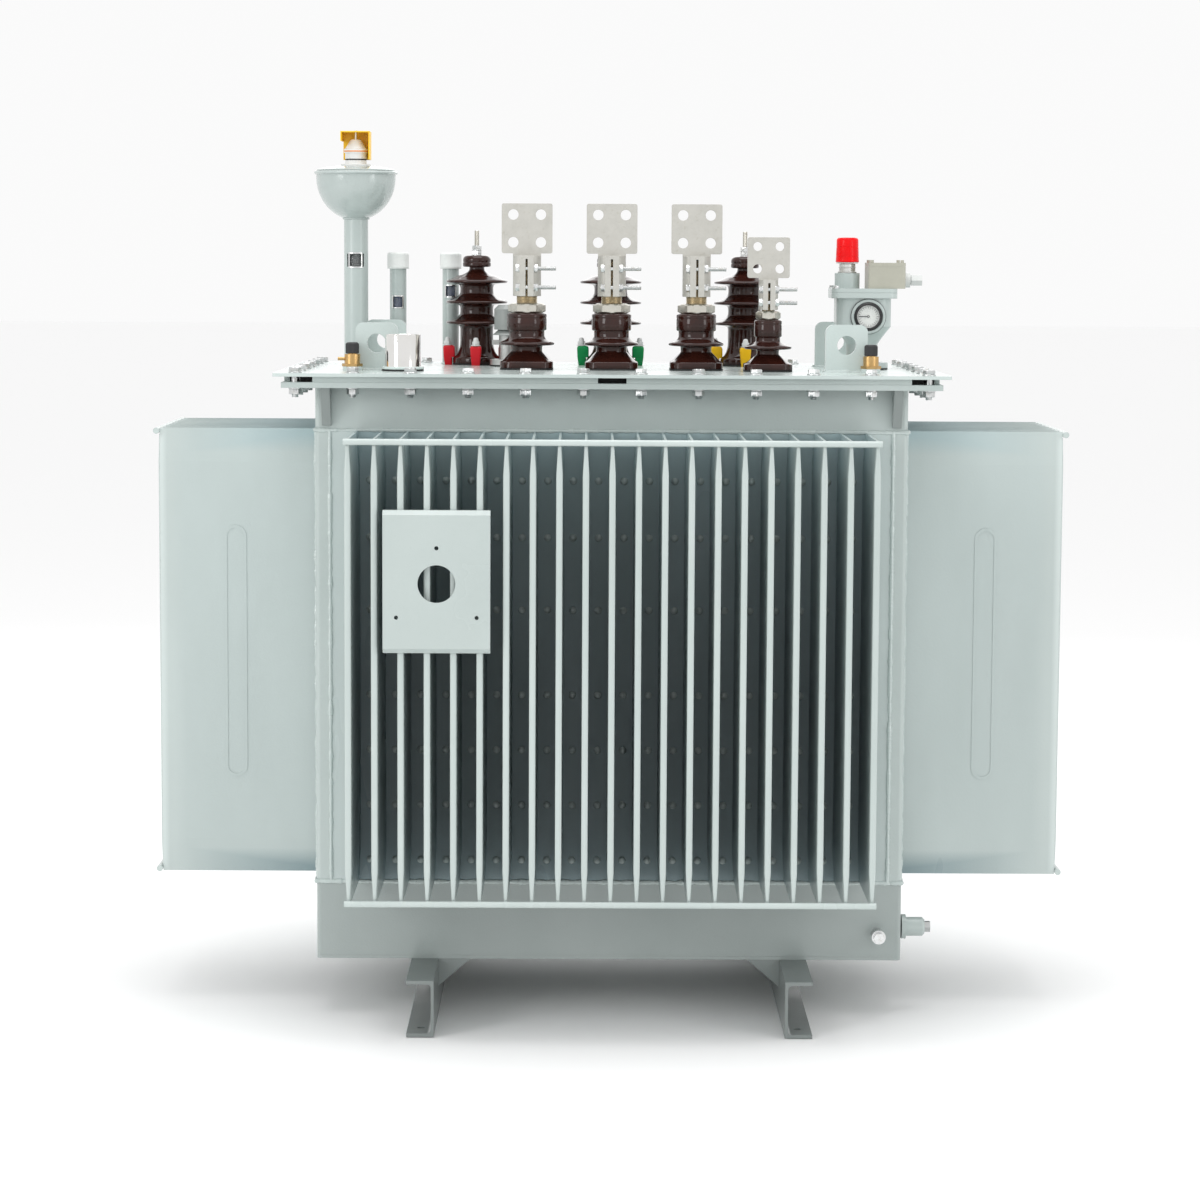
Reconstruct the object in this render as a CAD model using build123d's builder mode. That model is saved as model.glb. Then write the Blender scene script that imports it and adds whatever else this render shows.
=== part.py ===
from build123d import *
import os
from math import cos, pi, sin

# Sealed oil-filled three-phase distribution transformer: a corrugated steel tank on two channel
# runners, with open porcelain bushings, a filler column and a protection relay on its bolted cover.
# Millimetres. Origin on the ground, midway between the four holding-down holes; +Z up; the
# low-voltage side faces -Y.

os.makedirs("parts", exist_ok=True)


def save(piece, label):
    """Label a finished piece and write it under the same name."""
    piece.part.label = label
    export_step(piece.part, f"parts/{label}.step")


# ---------------------------------------------------------------- driving dimensions
joint_gap = 0.3        # between surfaces that move past each other
slip = 0.2             # between fixed round pieces and the holes they sit in

# runners
gauge_x = 660          # holding-down holes, across
gauge_y = 820          # holding-down holes, front to rear
base_hole_r = 7
channel_h = 100
channel_b = 48
channel_web = 5.3
channel_flange = 6.5
channel_root_r = 7
runner_end = 45        # from the hole to the runner's end
gusset_t = 6
gusset_leg = 58
gusset_drop = 50

# tank
tank_x = 1048
tank_y = 540
tank_corner_r = 8
tank_wall = 4
bottom_t = 6
lower_box_h = 134
panel_h = 808
band_h = 76
post_leg = 26

# corrugations
sheet = 1.5
fin_t = 11             # over the fold
fin_edge_t = 4         # at the welded top and bottom edges
fin_taper = 60
fin_margin = 2         # of the panel, above and below the fins
fin_pitch = 45
front_fins = 21
side_fins = 9
front_fin_depth = 240
side_fin_depth = 285.5
stay_r = 5.5
stay_end = 7           # past the outer fins
stay_poke = 4          # more on the side walls
stay_in = 5            # from the fin's end to the rod's centre
bead_w = 40            # pressed stadium on the outermost fins
bead_h = 456
bead_line = 5
bead_rise = 1.2
bead_out = 8           # past the middle of the fin

# flange, gasket and cover
flange_t = 10
flange_lip_x = 55
flange_lip_y = 54
joint_t = 10           # gasket and limit strips, under compression
gasket_w = 18
gasket_clear = 2       # from the bolts
strip_w = 10
strip_inset = 1
strip_gap = 50
strip_corner_gap = 55
cover_t = 6
cover_lip_x = 14       # past the flange
cover_lip_y = 14
cover_corner_r = 6
bolt_r = 6
bolt_slack = 1          # all round each bolt, in cover, gasket and flange
bolt_inset = 23
bolts_across = 12
bolts_deep = 7
bolt_af = 19
bolt_head = 7.5
bolt_nut = 10
bolt_tail = 5
washer_r = 12
washer_t = 2
gusset_bar = 16
gusset_reach = 42
gusset_toe = 8
gusset_h = 68
gusset_inset = 21

# heights worked out from the stack
z_tank = channel_h
z_box = z_tank + bottom_t
z_panel = z_box + lower_box_h
z_band = z_panel + panel_h
z_flange = z_band + band_h
z_joint = z_flange + flange_t
z_cover = z_joint + joint_t
z_top = z_cover + cover_t
half_x = tank_x / 2
half_y = tank_y / 2
flange_half_x = half_x + flange_lip_x
flange_half_y = half_y + flange_lip_y
cover_half_x = flange_half_x + cover_lip_x
cover_half_y = flange_half_y + cover_lip_y

# lifting lugs
lug_x = 423
lug_y = 140
lug_w = 76
lug_h = 85
lug_t = 12
lug_corner_r = 14
lug_hole_r = 17
lug_hole_h = 48

# high-voltage bushings
hv_pitch = 253
hv_y = 165
hv_core_r = 31
hv_shed_r = 58
hv_shed_pitch = 38.5
hv_shed_count = 3
hv_foot_r = 45
hv_foot_rim = 10
hv_flare_h = 24
hv_first_shed = 77
hv_shed_drip = 5
hv_shed_edge = 3
hv_shed_top = 15
hv_stalk_r = 14
hv_cap_r = 26.5
hv_cap_h = 22
hv_cap_bevel = 6
hv_body_h = 203        # from the seal to the cap's top
hv_stud_r = 4.8
hv_stud_out = 47
hv_nut_af = 16
hv_nut_h = 9
hv_nuts = 2
hv_nut_gap = 1
hv_tail_r = 27
hv_tail_h = 120
tail_gap = 2           # round the bushing tails, in the cover
hv_dogs = 4
dog_w = 21
dog_wall = 17
dog_h = 37
dog_arm = 11
dog_lap = 4
dog_gap = 1.5
dog_stud_r = 5
dog_nut_af = 13
dog_nut_h = 10
dog_tip = 6

# low-voltage bushings: three phases and a smaller neutral
lv_pitch = 154
lv_y = -75
neutral_x = 282
neutral_y = -125
phase_size = {
    "barrel_r": 36, "barrel_h": 31, "neck_r": 32, "neck_h": 13, "shed_r": 50, "shed_h": 12,
    "waist_r": 28, "waist_h": 13, "base_w": 96, "base_corner": 24, "base_rim": 12, "base_h": 30,
    "tail_r": 25, "tail_h": 60, "stud_r": 19, "nut_af": 59, "nut_h": 18, "stud_bare": 13,
}
neutral_size = {
    "barrel_r": 25, "barrel_h": 31, "neck_r": 22, "neck_h": 9, "shed_r": 43, "shed_h": 11,
    "waist_r": 20, "waist_h": 11, "base_w": 87, "base_corner": 22, "base_rim": 11, "base_h": 28,
    "tail_r": 19, "tail_h": 60, "stud_r": 12, "nut_af": 39, "nut_h": 16, "stud_bare": 2,
}
lv_shed_edge = 3

# palms, each with a split sleeve clamped on its stud
phase_palm = {
    "w": 92, "h": 90, "pitch": 50, "hole_r": 9.5, "rise": 4, "sleeve_r": 25.5, "sleeve_h": 73,
    "ear_x": 11, "ear_y": 17, "bolt_gap": 34, "bolt_drop": 23,
}
neutral_palm = {
    "w": 76, "h": 73, "pitch": 40, "hole_r": 8, "rise": 3, "sleeve_r": 17.5, "sleeve_h": 54,
    "ear_x": 9, "ear_y": 15, "bolt_gap": 24, "bolt_drop": 17,
}
palm_t = 10
palm_corner_r = 4
palm_crown = 6
palm_slit = 4
palm_bolt_r = 4
palm_bolt_out = 40
palm_nut_af = 13
palm_nut_h = 7

# seals under everything that stands on the cover
seal_t = 3

# filler column with its bowl
filler_x = -477
filler_y = 110
filler_r = 22.5
filler_wall = 3
filler_h = 275
bowl_z = 270           # of the bowl's lowest point, over the cover
window_w = 31
window_h = 24
window_z = 184         # above the cover, to the window's lower edge
glass_t = 1.5
float_r = 9.5
float_h = 16
bowl_r = 74
bowl_h = 91
bowl_wall = 2
bowl_straight = 30
bowl_lip_r = 3
lid_t = 4
lid_plug_h = 8
lid_plug_wall = 3
lid_plug_gap = 3
lid_dome = 5
lid_flat_r = 30
valve_base_r = 28
valve_base_h = 4
valve_body_r = 20
valve_body_h = 20
valve_band_r = 22
valve_band_h = 8
valve_cone_h = 17
valve_cone_r = 9
valve_bore_r = 3
pin_out = 17
pin_in = 20
hood_w = 54
hood_h = 50
hood_wall = 2
hood_left_cut = 34
hood_foot_w = 20
hood_lift = 12         # of the hood's lower edge over the lid

# two slim level tubes
tube_x = (-402, -305)
tube_y = (170, 230)
tube_r = 15.8
tube_wall = 2.5
tube_h = 196
tube_cap_z = 180
tube_window_w = 17
tube_window_h = 20
tube_window_z = (108, 128)
tube_cap_r = 20.5
tube_cap_h = 31
tube_cap_wall = 2.5
tube_insert_h = 30
tube_glass_lap = 4

# vent cylinder
vent_x = -373.5
vent_y = -186
vent_r = 31.5
vent_h = 57
vent_wall = 1.5
vent_flange_r = 37.5
vent_flange_t = 5

# thermometer pockets
pocket_x = 465
pocket_y = -168
pocket_boss_r = 17
pocket_boss_h = 7
pocket_af = 32
pocket_hex_h = 5
pocket_body_r = 14
pocket_body_h = 17
pocket_neck_r = 8
pocket_neck_h = 15
pocket_cap_z = 1       # bare neck under the cap
pocket_cap_r = 12
pocket_cap_h = 20
pocket_cap_round = 2
pocket_stem_r = 7
pocket_stem_h = 150
pocket_screw_r = 3
pocket_screw_out = 12

# protection relay
relay_x = 464
relay_y = 20
relay_foot_r = 48
relay_foot_h = 10
relay_neck_r = 29
relay_neck_h = 34
relay_cone_h = 32
relay_wall = 5
relay_body_w = 101
relay_body_d = 96
relay_body_h = 52
relay_body_r = 22
relay_rim_w = 121
relay_rim_d = 112
relay_rim_h = 10
relay_rim_r = 16
relay_plate_h = 8
tower_dx = -29
tower_r = 23
tower_h = 28
tower_neck_r = 15
tower_neck_h = 17
cap_r = 21.6
cap_top_r = 20.2
cap_h = 45
cap_round = 3
cap_gap = 3            # of bare metal under the red cap
relay_stem_h = 32
relay_stem_r = 12
box_w = 68
box_d = 92
box_h = 40
box_dx = 41
box_wall = 2.5
box_lid_h = 7
box_corner_r = 4
box_screw_r = 3.2
box_screw_h = 5
gland_r = 13.3
gland_flange = 12
gland_stem_r = 6.5
gland_stem = 16
gland_nut_af = 19
gland_nut_l = 20
gland_nut_gap = 2
gland_bore_r = 4.5
gland_z = 15           # above the box's floor
dial_dx = 7
dial_dz = -33          # below the body's top
dial_bezel_r = 32.5
dial_ring_r = 25
dial_face_r = 21
dial_depth = 9
dial_ring_t = 4
dial_back_t = 1.5
dial_pivot_l = 3
needle_lift = 0.7
needle_l = 17
needle_w = 2
needle_t = 1
needle_hub_r = 2.5
dial_pivot_r = 0.95
needle_slack = 0.05

# tap changer
tap_x = -192
tap_y = 92
tap_base_r = 34
tap_base_h = 10
tap_body_r = 17
tap_body_h = 45
tap_skirt_r = 29
tap_skirt_h = 10
tap_knob_r = 26
tap_knob_h = 46
tap_knob_round = 8
tap_spindle_r = 6
tap_lever = 30
tap_lever_h = 9
tap_stem_r = 14
tap_stem_h = 110

# instrument plate
plate_x = -298
plate_z = 804
plate_w = 183
plate_h = 244
plate_t = 2
plate_stand = 18
plate_chamfer = 8
plate_hole_r = 32
plate_hole_dz = -3
plate_circle_r = 79
plate_circle_dz = -21
plate_screw_r = 3.5
plate_screws = 3

# drain valve and earthing stud
drain_y = -235
drain_z = 155
drain_seal_r = 21
drain_flange_r = 22
drain_flange_t = 8
drain_r = 17
drain_l = 34
drain_nose = 4
drain_bore_r = 7
plug_af = 18
plug_head = 10
plug_l = 22
earth_x = 481
earth_z = 149
earth_boss_r = 10
earth_boss_l = 22
earth_washer_r = 12.5
earth_washer_t = 3
earth_af = 17
earth_head = 10
earth_shank_r = 6
earth_shank = 12

# core and windings
limb_pitch = 335
limb_w = 170
limb_d = 170
yoke_h = 160
core_headroom = 328     # between the height of the walls and that of the core's windows
core_z = 135
core_foot = core_z - z_box
lv_coil_in = 124
lv_coil_out = 138
hv_coil_in = 146
hv_coil_out = 163
coil_end = 20
clamp_h = 100
clamp_t = 12
lead_r = 8
lead_tail = 10          # of each stud, bare below its porcelain
lead_drop = 60
lead_bend = 20
lead_end_gap = 2


def hexagon(across_flats):
    """Centre-to-corner radius of a hexagon, from its size across flats."""
    return across_flats / 2 / cos(pi / 6)


# ---------------------------------------------------------------- runners and gussets
web_x = gauge_x / 2 - channel_b / 2
runner_l = gauge_y + 2 * runner_end

with BuildPart() as base_channels:
    with BuildSketch(Plane.XZ):
        with Locations((gauge_x / 2, channel_h / 2)):
            Rectangle(channel_b, channel_h)
        with Locations((gauge_x / 2 + channel_web / 2, channel_h / 2)):
            hollow_w = channel_b - channel_web
            Rectangle(hollow_w, channel_h - 2 * channel_flange, mode=Mode.SUBTRACT)
    extrude(amount=runner_l / 2, both=True)
    roots = base_channels.edges().filter_by(Axis.Y).group_by(Axis.X)[1]
    fillet(roots, channel_root_r)
    for end in (-1, 1):
        with Locations((gauge_x / 2, end * gauge_y / 2, channel_flange)):
            Hole(base_hole_r, depth=channel_flange)
    mirror(about=Plane.YZ)
save(base_channels, "base_channels")

# Triangles under the tank steady the runners' webs; bars under the cover flange carry its corners.
with BuildPart() as gussets:
    with BuildSketch(Plane.XZ.offset(half_y)):
        with BuildLine():
            Polyline((web_x, z_tank - gusset_drop), (web_x, z_tank), (web_x - gusset_leg, z_tank), close=True)
        make_face()
    extrude(amount=-gusset_t)
    with BuildSketch(Plane.YZ.offset(half_x - gusset_inset)):
        with BuildLine():
            Polyline(
                (-half_y, z_flange),
                (-half_y - gusset_reach, z_flange),
                (-half_y - gusset_toe, z_flange - gusset_h),
                (-half_y, z_flange - gusset_h),
                close=True,
            )
        make_face()
    extrude(amount=gusset_bar / 2, both=True)
    mirror(about=Plane.YZ)
    mirror(about=Plane.XZ)
save(gussets, "gussets")

# ---------------------------------------------------------------- tank shell
with BuildPart() as tank_bottom:
    with BuildSketch(Plane.XY.offset(z_tank)):
        RectangleRounded(tank_x, tank_y, tank_corner_r)
    extrude(amount=bottom_t)
save(tank_bottom, "tank_bottom")

drain_plane = Plane(origin=(half_x, drain_y, drain_z), x_dir=(0, 1, 0), z_dir=(1, 0, 0))
inner_x = tank_x - 2 * tank_wall
inner_y = tank_y - 2 * tank_wall
inner_r = tank_corner_r - tank_wall

with BuildPart() as tank_lower_box:
    with BuildSketch(Plane.XY.offset(z_box)):
        RectangleRounded(tank_x, tank_y, tank_corner_r)
        RectangleRounded(inner_x, inner_y, inner_r, mode=Mode.SUBTRACT)
    extrude(amount=lower_box_h)
    with Locations(drain_plane):
        Hole(drain_bore_r, depth=tank_wall)
save(tank_lower_box, "tank_lower_box")

with BuildPart() as corner_posts:
    with BuildSketch(Plane.XY.offset(z_panel)):
        RectangleRounded(tank_x, tank_y, tank_corner_r)
        RectangleRounded(inner_x, inner_y, inner_r, mode=Mode.SUBTRACT)
        Rectangle(tank_x - 2 * post_leg, tank_y, mode=Mode.SUBTRACT)
        Rectangle(tank_x, tank_y - 2 * post_leg, mode=Mode.SUBTRACT)
    extrude(amount=panel_h)
save(corner_posts, "corner_posts")

with BuildPart() as upper_band:
    with BuildSketch(Plane.XY.offset(z_band)):
        RectangleRounded(tank_x, tank_y, tank_corner_r)
        RectangleRounded(inner_x, inner_y, inner_r, mode=Mode.SUBTRACT)
    extrude(amount=band_h)
save(upper_band, "upper_band")

# ---------------------------------------------------------------- corrugated walls
panel_mid = z_panel + panel_h / 2
fin_half_h = panel_h / 2 - fin_margin


def fin_outline(half_t, half_edge, half_h):
    """Section of a fin across its length: parallel sides that pinch to a thin edge at each end."""
    shoulder = half_h - fin_taper
    corner = [(half_t, shoulder), (half_edge, half_h), (-half_edge, half_h), (-half_t, shoulder)]
    return corner + [(-x, -y) for x, y in corner]


def corrugated_wall(face, width, fins, depth, beaded):
    """A sheet with hollow fins folded out of it. The plane is the tank's outer face there."""
    with BuildPart() as wall:
        with BuildSketch(face.offset(-sheet)):
            with Locations((0, panel_mid)):
                Rectangle(width, panel_h)
        extrude(amount=sheet)
        with BuildSketch(face):
            with Locations((0, panel_mid)):
                with GridLocations(fin_pitch, fin_pitch, fins, 1):
                    Polygon(*fin_outline(fin_t / 2, fin_edge_t / 2, fin_half_h), align=None)
        extrude(amount=depth)
        if beaded:
            reach = (fins - 1) / 2 * fin_pitch + fin_t / 2
            for side in (-1, 1):
                centre = face.origin + face.x_dir * side * reach + face.y_dir * panel_mid
                centre += face.z_dir * (depth / 2 + bead_out)
                with BuildSketch(Plane(origin=centre, x_dir=face.z_dir, z_dir=face.x_dir * side)):
                    SlotOverall(bead_h, bead_w, rotation=90)
                    inside_w = bead_w - 2 * bead_line
                    SlotOverall(bead_h - 2 * bead_line, inside_w, rotation=90, mode=Mode.SUBTRACT)
                extrude(amount=bead_rise)
        with BuildSketch(face.offset(-sheet)):
            with Locations((0, panel_mid)):
                with GridLocations(fin_pitch, fin_pitch, fins, 1):
                    hollow = fin_outline(fin_t / 2 - sheet, fin_edge_t / 2 - sheet, fin_half_h - sheet)
                    Polygon(*hollow, align=None)
        extrude(amount=depth, mode=Mode.SUBTRACT)
    return wall


front_width = tank_x - 2 * post_leg
side_width = tank_y - 2 * post_leg
front_face = Plane(origin=(0, -half_y, 0), x_dir=(1, 0, 0), z_dir=(0, -1, 0))
rear_face = Plane(origin=(0, half_y, 0), x_dir=(-1, 0, 0), z_dir=(0, 1, 0))
left_face = Plane(origin=(-half_x, 0, 0), x_dir=(0, -1, 0), z_dir=(-1, 0, 0))
right_face = Plane(origin=(half_x, 0, 0), x_dir=(0, 1, 0), z_dir=(1, 0, 0))
walls = {
    "corrugated_front": (front_face, front_width, front_fins, front_fin_depth, False),
    "corrugated_rear": (rear_face, front_width, front_fins, front_fin_depth, False),
    "corrugated_left": (left_face, side_width, side_fins, side_fin_depth, True),
    "corrugated_right": (right_face, side_width, side_fins, side_fin_depth, True),
}
for label, spec in walls.items():
    save(corrugated_wall(*spec), label)

# A round rod is welded across the fin tips, near the top and near the bottom of each wall.
rod_low = z_panel + fin_margin + stay_in
rod_high = z_panel + panel_h - fin_margin - stay_in
rod_y = half_y + front_fin_depth + stay_r
rod_x = half_x + side_fin_depth + stay_r
front_rod_half = (front_fins - 1) / 2 * fin_pitch + stay_end
side_rod_half = (side_fins - 1) / 2 * fin_pitch + stay_end + stay_poke

with BuildPart() as stay_rods:
    with BuildSketch(Plane.YZ):
        with Locations((-rod_y, rod_low), (-rod_y, rod_high)):
            Circle(stay_r)
    extrude(amount=front_rod_half, both=True)
    with BuildSketch(Plane.XZ):
        with Locations((rod_x, rod_low), (rod_x, rod_high)):
            Circle(stay_r)
    extrude(amount=side_rod_half, both=True)
    mirror(about=Plane.YZ, mode=Mode.ADD)
    mirror(about=Plane.XZ, mode=Mode.ADD)
save(stay_rods, "stay_rods")

# ---------------------------------------------------------------- flange, gasket, cover, bolts
bolt_half_x = flange_half_x - bolt_inset
bolt_half_y = flange_half_y - bolt_inset
step_x = 2 * bolt_half_x / (bolts_across - 1)
step_y = 2 * bolt_half_y / (bolts_deep - 1)
bolt_spots = [
    (i * step_x - bolt_half_x, side * bolt_half_y) for i in range(bolts_across) for side in (-1, 1)
] + [
    (side * bolt_half_x, j * step_y - bolt_half_y) for j in range(1, bolts_deep - 1) for side in (-1, 1)
]
strip_y = flange_half_y - strip_inset - strip_w / 2
strip_x = flange_half_x - strip_inset - strip_w / 2
strip_end_x = flange_half_x - strip_corner_gap
strip_end_y = flange_half_y - strip_corner_gap
strip_l = strip_end_x - strip_gap / 2
strip_mid = (strip_end_x + strip_gap / 2) / 2

# Strips welded on the flange's edge stop the gasket being crushed.
with BuildPart() as tank_flange:
    with BuildSketch(Plane.XY.offset(z_flange)):
        Rectangle(2 * flange_half_x, 2 * flange_half_y)
        RectangleRounded(inner_x, inner_y, inner_r, mode=Mode.SUBTRACT)
        with Locations(*bolt_spots):
            Circle(bolt_r + bolt_slack, mode=Mode.SUBTRACT)
    extrude(amount=flange_t)
    with BuildSketch(Plane.XY.offset(z_joint)):
        with GridLocations(2 * strip_mid, 2 * strip_y, 2, 2):
            Rectangle(strip_l, strip_w)
        with GridLocations(2 * strip_x, strip_w, 2, 1):
            Rectangle(strip_w, 2 * strip_end_y)
    extrude(amount=joint_t)
save(tank_flange, "tank_flange")

gasket_half_x = bolt_half_x - bolt_r - gasket_clear
gasket_half_y = bolt_half_y - bolt_r - gasket_clear
with BuildPart() as cover_gasket:
    with BuildSketch(Plane.XY.offset(z_joint)):
        Rectangle(2 * gasket_half_x, 2 * gasket_half_y)
        Rectangle(2 * gasket_half_x - 2 * gasket_w, 2 * gasket_half_y - 2 * gasket_w, mode=Mode.SUBTRACT)
    extrude(amount=joint_t)
save(cover_gasket, "cover_gasket")

hv_spots = [(i * hv_pitch, hv_y) for i in (-1, 0, 1)]
lv_spots = [(i * lv_pitch, lv_y) for i in (-1, 0, 1)]
neutral_spot = (neutral_x, neutral_y)
tube_spots = list(zip(tube_x, tube_y))
pocket_spots = [(-pocket_x, pocket_y), (pocket_x, pocket_y)]
cover_holes = [(spot, hv_tail_r + tail_gap) for spot in hv_spots]
cover_holes += [(spot, phase_size["tail_r"] + tail_gap) for spot in lv_spots]
cover_holes += [(neutral_spot, neutral_size["tail_r"] + tail_gap)]
cover_holes += [((filler_x, filler_y), filler_r - filler_wall)]
cover_holes += [(spot, tube_r - tube_wall) for spot in tube_spots]
cover_holes += [(spot, pocket_stem_r + slip) for spot in pocket_spots]
cover_holes += [((vent_x, vent_y), vent_r - vent_wall), ((relay_x, relay_y), relay_neck_r - relay_wall)]
cover_holes += [((tap_x, tap_y), tap_stem_r + slip)]

with BuildPart() as cover_plate:
    with BuildSketch(Plane.XY.offset(z_cover)):
        RectangleRounded(2 * cover_half_x, 2 * cover_half_y, cover_corner_r)
        with Locations(*bolt_spots):
            Circle(bolt_r + bolt_slack, mode=Mode.SUBTRACT)
        for spot, hole_r in cover_holes:
            with Locations(spot):
                Circle(hole_r, mode=Mode.SUBTRACT)
    extrude(amount=cover_t)
    with BuildSketch(Plane.XY.offset(z_top)):
        with Locations(*pocket_spots):
            Circle(pocket_boss_r)
            Circle(pocket_stem_r + slip, mode=Mode.SUBTRACT)
    extrude(amount=pocket_boss_h)
save(cover_plate, "cover_plate")

# Each set is a bolt with its washer, and a washer and nut below the flange.
washer_low = z_flange - washer_t
nut_low = washer_low - bolt_nut
with BuildPart() as flange_bolts:
    with BuildSketch(Plane.XY.offset(z_top)):
        with Locations(*bolt_spots):
            Circle(washer_r)
    extrude(amount=washer_t)
    with BuildSketch(Plane.XY.offset(z_top + washer_t)):
        with Locations(*bolt_spots):
            RegularPolygon(hexagon(bolt_af), 6)
    extrude(amount=bolt_head)
    with BuildSketch(Plane.XY.offset(nut_low - bolt_tail)):
        with Locations(*bolt_spots):
            Circle(bolt_r)
    extrude(until=Until.NEXT)
    with BuildSketch(Plane.XY.offset(washer_low)):
        with Locations(*bolt_spots):
            Circle(washer_r)
    extrude(amount=washer_t)
    with BuildSketch(Plane.XY.offset(nut_low)):
        with Locations(*bolt_spots):
            RegularPolygon(hexagon(bolt_af), 6)
    extrude(amount=bolt_nut)
save(flange_bolts, "flange_bolts")

with BuildPart() as lifting_lugs:
    for side in (-1, 1):
        with BuildSketch(Plane.XZ.offset(lug_y)):
            with Locations((side * lug_x, z_top + lug_h / 2)):
                lug_face = Rectangle(lug_w, lug_h)
            tops = [v for v in lug_face.vertices() if v.Y > z_top + lug_h / 2]
            fillet(tops, lug_corner_r)
            with Locations((side * lug_x, z_top + lug_hole_h)):
                Circle(lug_hole_r, mode=Mode.SUBTRACT)
        extrude(amount=lug_t / 2, both=True)
    mirror(about=Plane.XZ)
save(lifting_lugs, "lifting_lugs")

# ---------------------------------------------------------------- instrument plate
# Folded sheet hung on the fin tips, for a thermometer that is fitted on site.
tip_y = -half_y - front_fin_depth
plate_y = tip_y - plate_stand
plate_low = plate_z - plate_h / 2
plate_high = plate_z + plate_h / 2

with BuildPart() as instrument_plate:
    with BuildSketch(Plane.YZ.offset(plate_x)):
        with BuildLine():
            Polyline(
                (tip_y, plate_low),
                (plate_y + plate_chamfer, plate_low),
                (plate_y, plate_low + plate_chamfer),
                (plate_y, plate_high - plate_chamfer),
                (plate_y + plate_chamfer, plate_high),
                (tip_y, plate_high),
            )
            offset(amount=plate_t, side=Side.RIGHT)
        make_face()
    extrude(amount=plate_w / 2, both=True)
    with Locations(Plane(origin=(plate_x, plate_y - plate_t, plate_z), x_dir=(1, 0, 0), z_dir=(0, -1, 0))):
        with Locations((0, plate_hole_dz)):
            Hole(plate_hole_r, depth=2 * plate_t)
        with Locations((0, plate_circle_dz)):
            with PolarLocations(plate_circle_r, plate_screws, start_angle=90):
                Hole(plate_screw_r, depth=2 * plate_t)
save(instrument_plate, "instrument_plate")

# ---------------------------------------------------------------- drain valve and earthing stud
drain_out = Plane(origin=(half_x + seal_t, drain_y, drain_z), x_dir=(0, 1, 0), z_dir=(1, 0, 0))
drain_end = drain_flange_t + drain_l

with BuildPart() as drain_valve:
    with BuildSketch(drain_out):
        Circle(drain_flange_r)
    extrude(amount=drain_flange_t)
    with BuildSketch(drain_out.offset(drain_flange_t)):
        Circle(drain_r)
    extrude(amount=drain_l)
    nose = drain_valve.edges().filter_by(GeomType.CIRCLE).sort_by(Axis.X)[-1]
    chamfer(nose, drain_nose)
    with Locations(drain_out.offset(drain_end)):
        Hole(drain_bore_r, depth=drain_end)
save(drain_valve, "drain_valve")

with BuildPart() as drain_plug:
    with BuildSketch(drain_out.offset(drain_end + joint_gap)):
        RegularPolygon(hexagon(plug_af), 6)
    extrude(amount=plug_head)
    with BuildSketch(drain_out.offset(drain_end + joint_gap)):
        Circle(drain_bore_r - joint_gap)
    extrude(amount=-plug_l)
save(drain_plug, "drain_plug")

earth_plane = Plane(origin=(earth_x, -half_y, earth_z), x_dir=(1, 0, 0), z_dir=(0, -1, 0))
earth_stack = [
    (earth_boss_r, earth_boss_l),
    (earth_shank_r, earth_shank),
    (earth_washer_r, earth_washer_t),
]
with BuildPart() as earth_stud:
    reached = 0
    for disc_r, disc_l in earth_stack:
        with BuildSketch(earth_plane.offset(reached)):
            Circle(disc_r)
        extrude(amount=disc_l)
        reached += disc_l
    with BuildSketch(earth_plane.offset(reached)):
        RegularPolygon(hexagon(earth_af), 6)
    extrude(amount=earth_head)
save(earth_stud, "earth_stud")


# ---------------------------------------------------------------- filler column and bowl
def upright(x, y, z):
    """Section plane through a vertical axis: local x is the radius, local y is the height over z."""
    return Plane(origin=(x, y, z), x_dir=(1, 0, 0), z_dir=(0, -1, 0))


def vertical(x, y):
    """The vertical axis that a fitting turns about."""
    return Axis((x, y, 0), (0, 0, 1))


with BuildPart() as filler_pipe:
    with BuildSketch(Plane.XY.offset(z_top)):
        with Locations((filler_x, filler_y)):
            Circle(filler_r)
            Circle(filler_r - filler_wall, mode=Mode.SUBTRACT)
    extrude(amount=filler_h)
    with BuildSketch(Plane.XZ.offset(-filler_y)):
        with Locations((filler_x, z_top + window_z + window_h / 2)):
            Rectangle(window_w, window_h)
    extrude(amount=filler_r, mode=Mode.SUBTRACT)
save(filler_pipe, "filler_pipe")

z_bowl = z_top + bowl_z
z_rim = z_bowl + bowl_h
bowl_round = bowl_h - bowl_straight
filler_axis = vertical(filler_x, filler_y)

with BuildPart() as oil_bowl:
    with BuildSketch(upright(filler_x, filler_y, z_bowl)):
        with Locations((0, bowl_round)):
            Ellipse(bowl_r, bowl_round)
            Rectangle(2 * bowl_r, bowl_straight, align=(Align.CENTER, Align.MIN))
        with Locations((bowl_r, bowl_h - bowl_lip_r)):
            Circle(bowl_lip_r)
        with Locations((0, bowl_round)):
            Ellipse(bowl_r - bowl_wall, bowl_round - bowl_wall, mode=Mode.SUBTRACT)
            hollow_r = bowl_r - bowl_wall
            Rectangle(2 * hollow_r, bowl_h, align=(Align.CENTER, Align.MIN), mode=Mode.SUBTRACT)
        Rectangle(2 * filler_r, bowl_h, mode=Mode.SUBTRACT)
        Rectangle(2 * bowl_r, 2 * bowl_h, align=(Align.MAX, Align.CENTER), mode=Mode.SUBTRACT)
    revolve(axis=filler_axis)
save(oil_bowl, "oil_bowl")

z_lid = z_rim + joint_gap
lid_r = bowl_r - bowl_lip_r / 2
plug_r = bowl_r - bowl_wall - lid_plug_gap
z_lid_top = z_lid + lid_t + lid_dome

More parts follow.
